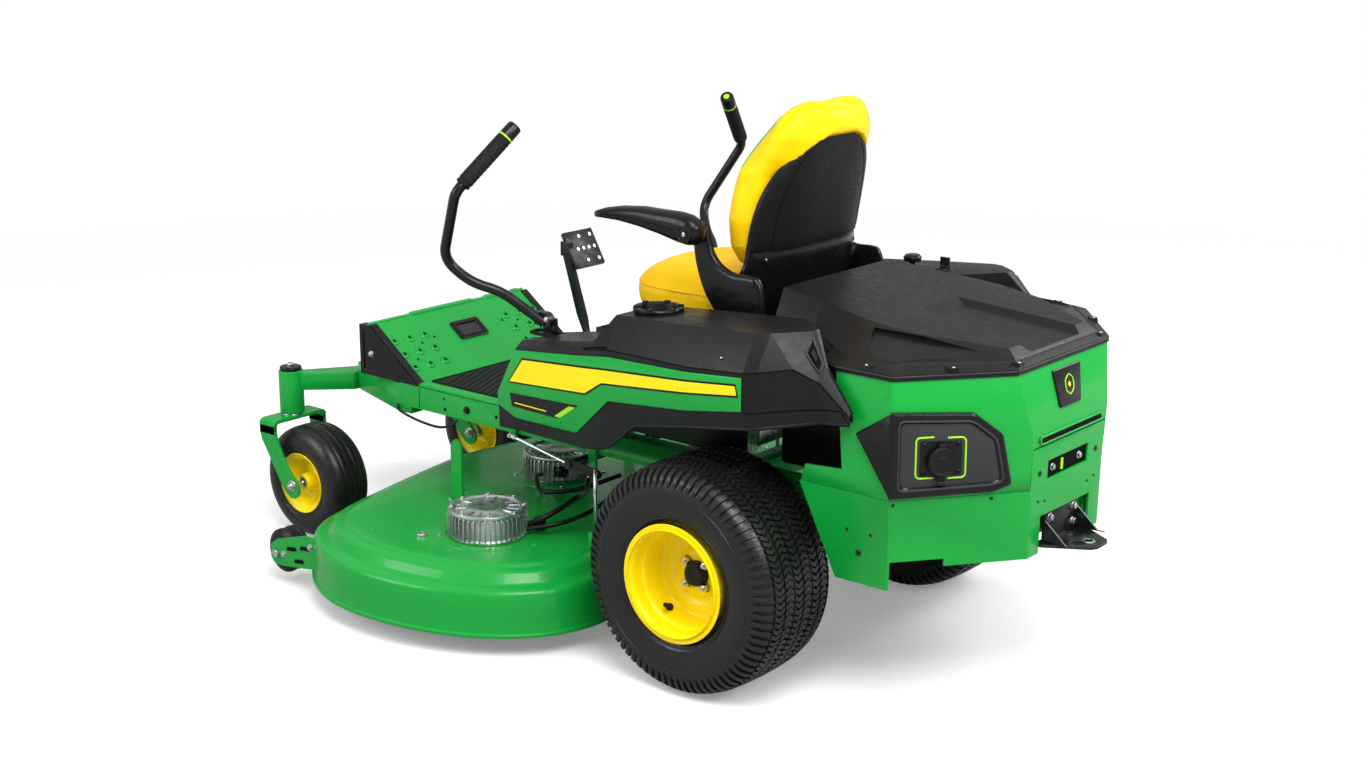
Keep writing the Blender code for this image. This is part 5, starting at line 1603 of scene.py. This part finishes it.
# ---------------------------------------------------------- frame fittings
part = Build()
for sign in (1, -1):
    sideways = (sign, 0, 0)
    part.block(*sorted((sign * .2848, sign * .2856)), -1.029, -1.0272, .395, .4485, "dark")
    # holes in the rail's face: dark discs of painted shade
    for y, z, radius in ((-.937, .408, .0046), (-.76, .421, .0046), (-.56, .421, .0046),
                         (-.94, .434, .003)):
        part.rod(-.0006, .0008, radius, (sign * .285, y, z), sideways, "dark", 18)
    part.bolt((sign * .2855, -.86, .42), sideways, .0075, "steel_black")
    for x, y in ((.262, -1.07), (.236, -1.12)):
        part.dome((sign * x, y, .4464), UP, .0075)
    # lift rod under the rail with its clevis ends
    front, rear = Vector((sign * .299, -.7, .39)), Vector((sign * .299, -.445, .344))
    part.tube([front, rear], .0042, "steel")
    for end, other in ((front, rear), (rear, front)):
        along = (other - end).normalized()
        part.tube([end - along * .004, end + along * .02], .0066, "steel", 6)
        part.tube([end + Vector((-sign * .012, 0, 0)), end + Vector((sign * .008, 0, 0))],
                  .0044, "steel", 12)
    across = sorted((sign * .2852, sign * .293))
    part.block(*across, -.711, -.689, .38, .42, "paint_green")
    part.block(*across, -.456, -.434, .334, .42, "paint_green")
part.tube(spline([(.28, -1.11, .393), (.295, -1.09, .38), (.296, -1.02, .366),
                  (.296, -.95, .363), (.296, -.905, .376), (.286, -.895, .39)], 8),
          .0034, "cable", 10)
part.tube(spline([(.235, -1.07, .393), (.23, -.98, .378), (.22, -.8, .372),
                  (.225, -.62, .379), (.23, -.56, .39)], 8), .0048, "cable", 10)
part.make("frame_fittings", "frame", bevel=.0006, smooth=40)

# -------------------------------------------------------- pedal, armrests
PEDAL_ALONG = Vector((0, .05, -.086)).normalized()
PEDAL_OUT = Vector((0, -PEDAL_ALONG.z, PEDAL_ALONG.y))
part = Build()
for k, x in enumerate((-.285, -.264, -.243, -.222)):
    for j, along in enumerate((.016, .05, .084)):
        if (k + j) % 2 == 0 or j == 1:
            at = Vector((x, -.978, .776)) + PEDAL_ALONG * along
            part.lathe([(-.0006, .0072), (.0008, .007), (.0012, .0056), (.0006, .0048),
                        (-.0006, .0048)], at, PEDAL_OUT, "plastic_grey", 24, loop=True)
            part.rod(-.0006, .0004, .0049, at, PEDAL_OUT, "aluminium", 20)
part.make("pedal_studs", "deck_lift_pedal", smooth=40)

# y, z of the middle, half width, half height
ARMREST = [
    (-.445, .9515, .01, .006), (-.438, .952, .017, .0085), (-.415, .956, .0215, .012),
    (-.37, .96, .0245, .0165), (-.31, .9595, .0258, .0225), (-.25, .954, .0262, .0275),
    (-.205, .949, .0262, .033), (-.175, .945, .0258, .033), (-.156, .942, .0235, .027),
    (-.147, .941, .016, .017), (-.1452, .941, .007, .008)]
ARM_X = centre("armrest_left").x
HINGE = Vector((local("armrest_left")[1].x - .0012, -.173, .939))
for side in SIDES:
    part = Build()
    turns = [2 * math.pi * k / 40 for k in range(40)]
    part.rings([[(ARM_X + half * signed_power(math.cos(turn), .75), y,
                  z + tall * signed_power(math.sin(turn), .8)) for turn in turns]
                for y, z, half, tall in ARMREST], "gloss_black")
    part.lathe([(-.004, .019), (.0006, .0188), (.0016, .0165), (-.001, .015), (-.001, .009),
                (.001, .0085), (.0014, .005), (.0004, 0)], HINGE, X_AXIS,
               "plastic_black", 40)
    part.lathe([(0, .0052), (.0022, .005), (.0026, .0034), (.001, .003), (.001, 0)], HINGE,
               X_AXIS, "steel", 6)
    part.tube([(ARM_X + half * .985, y, z - tall * .1) for y, z, half, tall in ARMREST[2:7]],
              .0011, "dark", 8)
    part.make("armrest_pad_{}", "armrest_{}", "armrest_{}", side, smooth=50)


# ---------------------------------------------------- seat covers and seams
def surface(obj):
    work = bmesh.new()
    work.from_mesh(obj.data)
    tree = BVHTree.FromBMesh(work)
    work.free()
    return tree


def laid(tree, path, lift):
    """Points brought onto a surface and lifted off it."""
    out = []
    for p in path:
        place, normal, _, _ = tree.find_nearest(Vector(p) + ORIGIN)
        out.append(place + normal * lift - ORIGIN)
    return out


seat_surface, back_surface = surface(cushion), surface(back_pad)
part = Build()
path = oval(SEAT_X, SEAT_Y, .212, .202, .788, 96, 2.9)
part.tube(even(laid(seat_surface, path, .0004)), .0022, "vinyl_yellow", 8, loop=True)
path = oval(SEAT_X, SEAT_Y + .004, .128, .13, .84, 72, 3.2)
part.tube(even(laid(seat_surface, path, 0)), .0016, "vinyl_yellow", 8, loop=True)
for sign in (1, -1):
    path = [(sign * x, y, z) for x, y, z in
            ((.15, -.19, .885), (.166, -.18, .94), (.168, -.17, 1), (.158, -.15, 1.06),
             (.142, -.13, 1.12), (.122, -.11, 1.165), (.098, -.09, 1.2))]
    part.tube(even(laid(back_surface, spline(path, 6), .0006), closed=False), .0024,
              "paint_green", 8)
path = [(x, -.19, .98 + .012 * math.cos(x * 20)) for x in np.linspace(-.16, .16, 40)]
part.tube(even(laid(back_surface, path, 0), closed=False), .0016, "vinyl_yellow", 8)
part.make("seat_piping", "seat", smooth=60)


def back_panel(part, low, high, grow, out, thick, mat, rows=30, columns=36):
    """A curled plate on the back's outer face; one that reaches above 1 m ends in the arch."""
    arched = high > 1
    rings = []
    for k in range(rows + 1):
        share = math.sin(math.pi / 2 * k / rows) if arched else k / rows
        z = low + (high - low) * share
        half = max(float(panel_half(z)) + grow, .004)
        spots = [half * math.sin(math.pi / 2 * (2 * i / columns - 1))
                 for i in range(columns + 1)]
        face = []
        for x in spots:
            # 1 over the middle, falling towards the plate's edges
            crown = min(1, (half - abs(x)) / .014, (z - low + .0015) / .006,
                        1 if arched else (high - z + .0015) / .01)
            face.append(on_panel(x, z, out - .0045 * (1 - max(0, crown)) ** 2))
        rings.append(face + [on_panel(x, z, -thick) for x in spots[::-1]])
    part.rings(rings, mat)


# Moulded arm from the armrest's pivot down round the seat to the foot: y, z.
SCOOP = flat_spline([
    (-.002, .715), (-.07, .729), (-.122, .756), (-.162, .803), (-.186, .862),
    (-.1945, .915), (-.191, .945), (-.178, .957), (-.161, .952), (-.153, .928),
    (-.144, .898), (-.122, .872), (-.085, .856), (-.042, .856), (-.018, .848),
    (-.004, .8)], 4, closed=True)
part = Build()
back_panel(part, .716, 1.146, -.003, 0, .015, "gloss_black")
back_panel(part, .902, 1.149, 0, .0052, .01, "sleeve")
back_panel(part, .718, .8965, -.0005, .0046, .01, "gloss_black", rows=20)
for sign in (1, -1):
    part.dome(on_panel(sign * .166, .88, .004), (sign * .35, 1, -.17), .0064, "gloss_black")
    part.dome(on_panel(sign * .166, .88, .0062), (sign * .35, 1, -.17), .0028, "steel")
    part.tube([on_panel(sign * float(panel_half(z)) * .8, z, .005) for z in
               (.906, .94, .98, 1.02, 1.06, 1.09, 1.112)], .0012, "dark", 8)
arch = [on_panel(float(panel_half(z)) - .0012, z, -.0022) for z in
        [.73 + .42 * math.sin(math.pi / 2 * k / 26) for k in range(27)]]
part.tube(arch + [Vector((-p.x, p.y, p.z)) for p in arch[::-1]], .0026, "gloss_black", 10)
# foot under the panel, and the plate beneath the seat
part.rings([[(x, y, z) for x, y in rect(-half, half, -.09, rear)] for half, rear, z in
            ((.239, -.004, .711), (.239, -.005, .7235), (.237, -.03, .733),
             (.235, -.048, .742))], "plastic_black")
part.block(-.17, .17, -.41, -.02, .711, .7195, "steel_black")
for sign in (1, -1):
    for y in (-.38, -.3):
        part.bolt((sign * .15, y, .7195), UP, .0055, "steel_black")
for sign in (1, -1):
    part.stack(lambda y, z, x: (sign * x, y, z), [(shrink(SCOOP, amount), x) for amount, x in
               ((.003, .2235), (0, .225), (0, .233), (.0018, .2366), (.006, .2392),
                (.012, .2402))], "gloss_black")
    part.lathe([(-.004, .0165), (.0012, .016), (.0012, 0)], (sign * .2395, -.173, .939),
               (sign, 0, 0), "plastic_black", 36)
part.make("seat_shroud", "seat", "seat_back_shell", bevel=.0006, smooth=42)

# ------------------------------------------------------------------- stage
WHITE = (1, 1, 1, 1)


def floor_material():
    """Pale near the mower, fading to plain white further out."""
    material = bpy.data.materials.new("floor")
    material.use_nodes = True
    tree = material.node_tree
    pale = tree.nodes["Principled BSDF"]
    feed(tree, pale, {"Base Color": (.93, .93, .93, 1), "Roughness": .55})
    where = add_node(tree, "TexCoord")
    reach = add_node(tree, "Mapping", {"Vector": where.outputs["Object"],
                                       "Scale": (.17, .17, .17)})
    grade = add_node(tree, "TexGradient", {"Vector": reach.outputs["Vector"]},
                     gradient_type="SPHERICAL")
    fade = add_node(tree, "MapRange", {"Value": grade.outputs["Fac"], "From Min": .05,
                                       "From Max": .55})
    glow = add_node(tree, "Emission", {"Color": WHITE, "Strength": 1})
    blend = add_node(tree, "MixShader", {0: fade.outputs["Result"],
                                         1: glow.outputs["Emission"]})
    # the camera sees a lifted white; other rays see a greyer floor that throws less back
    lift = add_node(tree, "Emission", {"Color": WHITE, "Strength": .21})
    lifted = add_node(tree, "AddShader", {0: pale.outputs["BSDF"],
                                          1: lift.outputs["Emission"]})
    soft = add_node(tree, "BsdfDiffuse", {"Color": (.42, .42, .42, 1)})
    rays = add_node(tree, "LightPath")
    by_ray = add_node(tree, "MixShader", {0: rays.outputs["Is Camera Ray"],
                                          1: soft.outputs["BSDF"],
                                          2: lifted.outputs["Shader"]})
    feed(tree, blend, {2: by_ray.outputs["Shader"]})
    feed(tree, tree.nodes["Material Output"], {"Surface": blend.outputs["Shader"]})
    return material


floor = bpy.data.meshes.new("floor")
floor.from_pydata([(x, y, 0) for x, y in rect(-30, 30, -30, 30)], [], [[0, 1, 2, 3]])
floor_obj = bpy.data.objects.new("floor", floor)
bpy.context.scene.collection.objects.link(floor_obj)
floor.materials.append(floor_material())

# the world is plain white to the camera and brightens with height to other rays
world = bpy.data.worlds.new("studio")
bpy.context.scene.world = world
world.use_nodes = True
tree = world.node_tree
around = tree.nodes["Background"]
rays = add_node(tree, "LightPath")
plain = add_node(tree, "Background", {"Color": WHITE, "Strength": 1})
sky = add_node(tree, "TexCoord")
split = add_node(tree, "SeparateXYZ", {"Vector": sky.outputs["Generated"]})
height = add_node(tree, "MapRange", {"Value": split.outputs["Z"], "From Min": -.1,
                                     "From Max": .9, "To Min": .26, "To Max": .78})
feed(tree, around, {"Color": WHITE, "Strength": height.outputs["Result"]})
pick = add_node(tree, "MixShader", {0: rays.outputs["Is Camera Ray"],
                                    1: around.outputs["Background"],
                                    2: plain.outputs["Background"]})
feed(tree, tree.nodes["World Output"], {"Surface": pick.outputs["Shader"]})
bpy.context.scene.view_settings.view_transform = "Standard"


def lamp(name, at, aim, size, power):
    data = bpy.data.lights.new(name, "AREA")
    data.shape = "RECTANGLE"
    data.size, data.size_y = size
    data.energy = power
    obj = bpy.data.objects.new(name, data)
    obj.location = at
    obj.rotation_mode = "QUATERNION"
    obj.rotation_quaternion = (Vector(aim) - Vector(at)).to_track_quat("-Z", "Y")
    bpy.context.scene.collection.objects.link(obj)


lamp("key", at=(2.1, 2.2, 3.9), aim=(.1, 0, .5), size=(2.2, 2.2), power=150)
lamp("fill", at=(3.8, -2.2, 2.2), aim=(0, 0, .5), size=(2, 2), power=62)
lamp("back", at=(.2, 3.9, 2.7), aim=(0, .2, .5), size=(1.8, 1.2), power=75)
lamp("rim", at=(-3.2, 2.2, 3), aim=(0, 0, .6), size=(2, 2), power=75)

# camera at the left rear, looking down at the mower
CAMERA_AT = (3.488 + DATUM_X, 2.441 + DATUM_Y, 1.709)
YAW, PITCH_DOWN, ROLL = (math.radians(angle) for angle in (129.32, 14.95, .29))
camera_data = bpy.data.cameras.new("camera")
camera_data.sensor_width = 36
camera_data.lens = 51.433846154
camera_data.clip_end = 100
camera = bpy.data.objects.new("camera", camera_data)
bpy.context.scene.collection.objects.link(camera)
bpy.context.scene.camera = camera
backward = Vector((math.sin(YAW) * math.cos(PITCH_DOWN), -math.cos(YAW) * math.cos(PITCH_DOWN),
                   math.sin(PITCH_DOWN)))
level = (-backward).cross(Vector(UP)).normalized()
upright = level.cross(-backward)
rightward = level * math.cos(ROLL) + upright * math.sin(ROLL)
upward = upright * math.cos(ROLL) - level * math.sin(ROLL)
camera.matrix_world = Matrix((*zip(rightward, upward, backward, CAMERA_AT), (0, 0, 0, 1)))
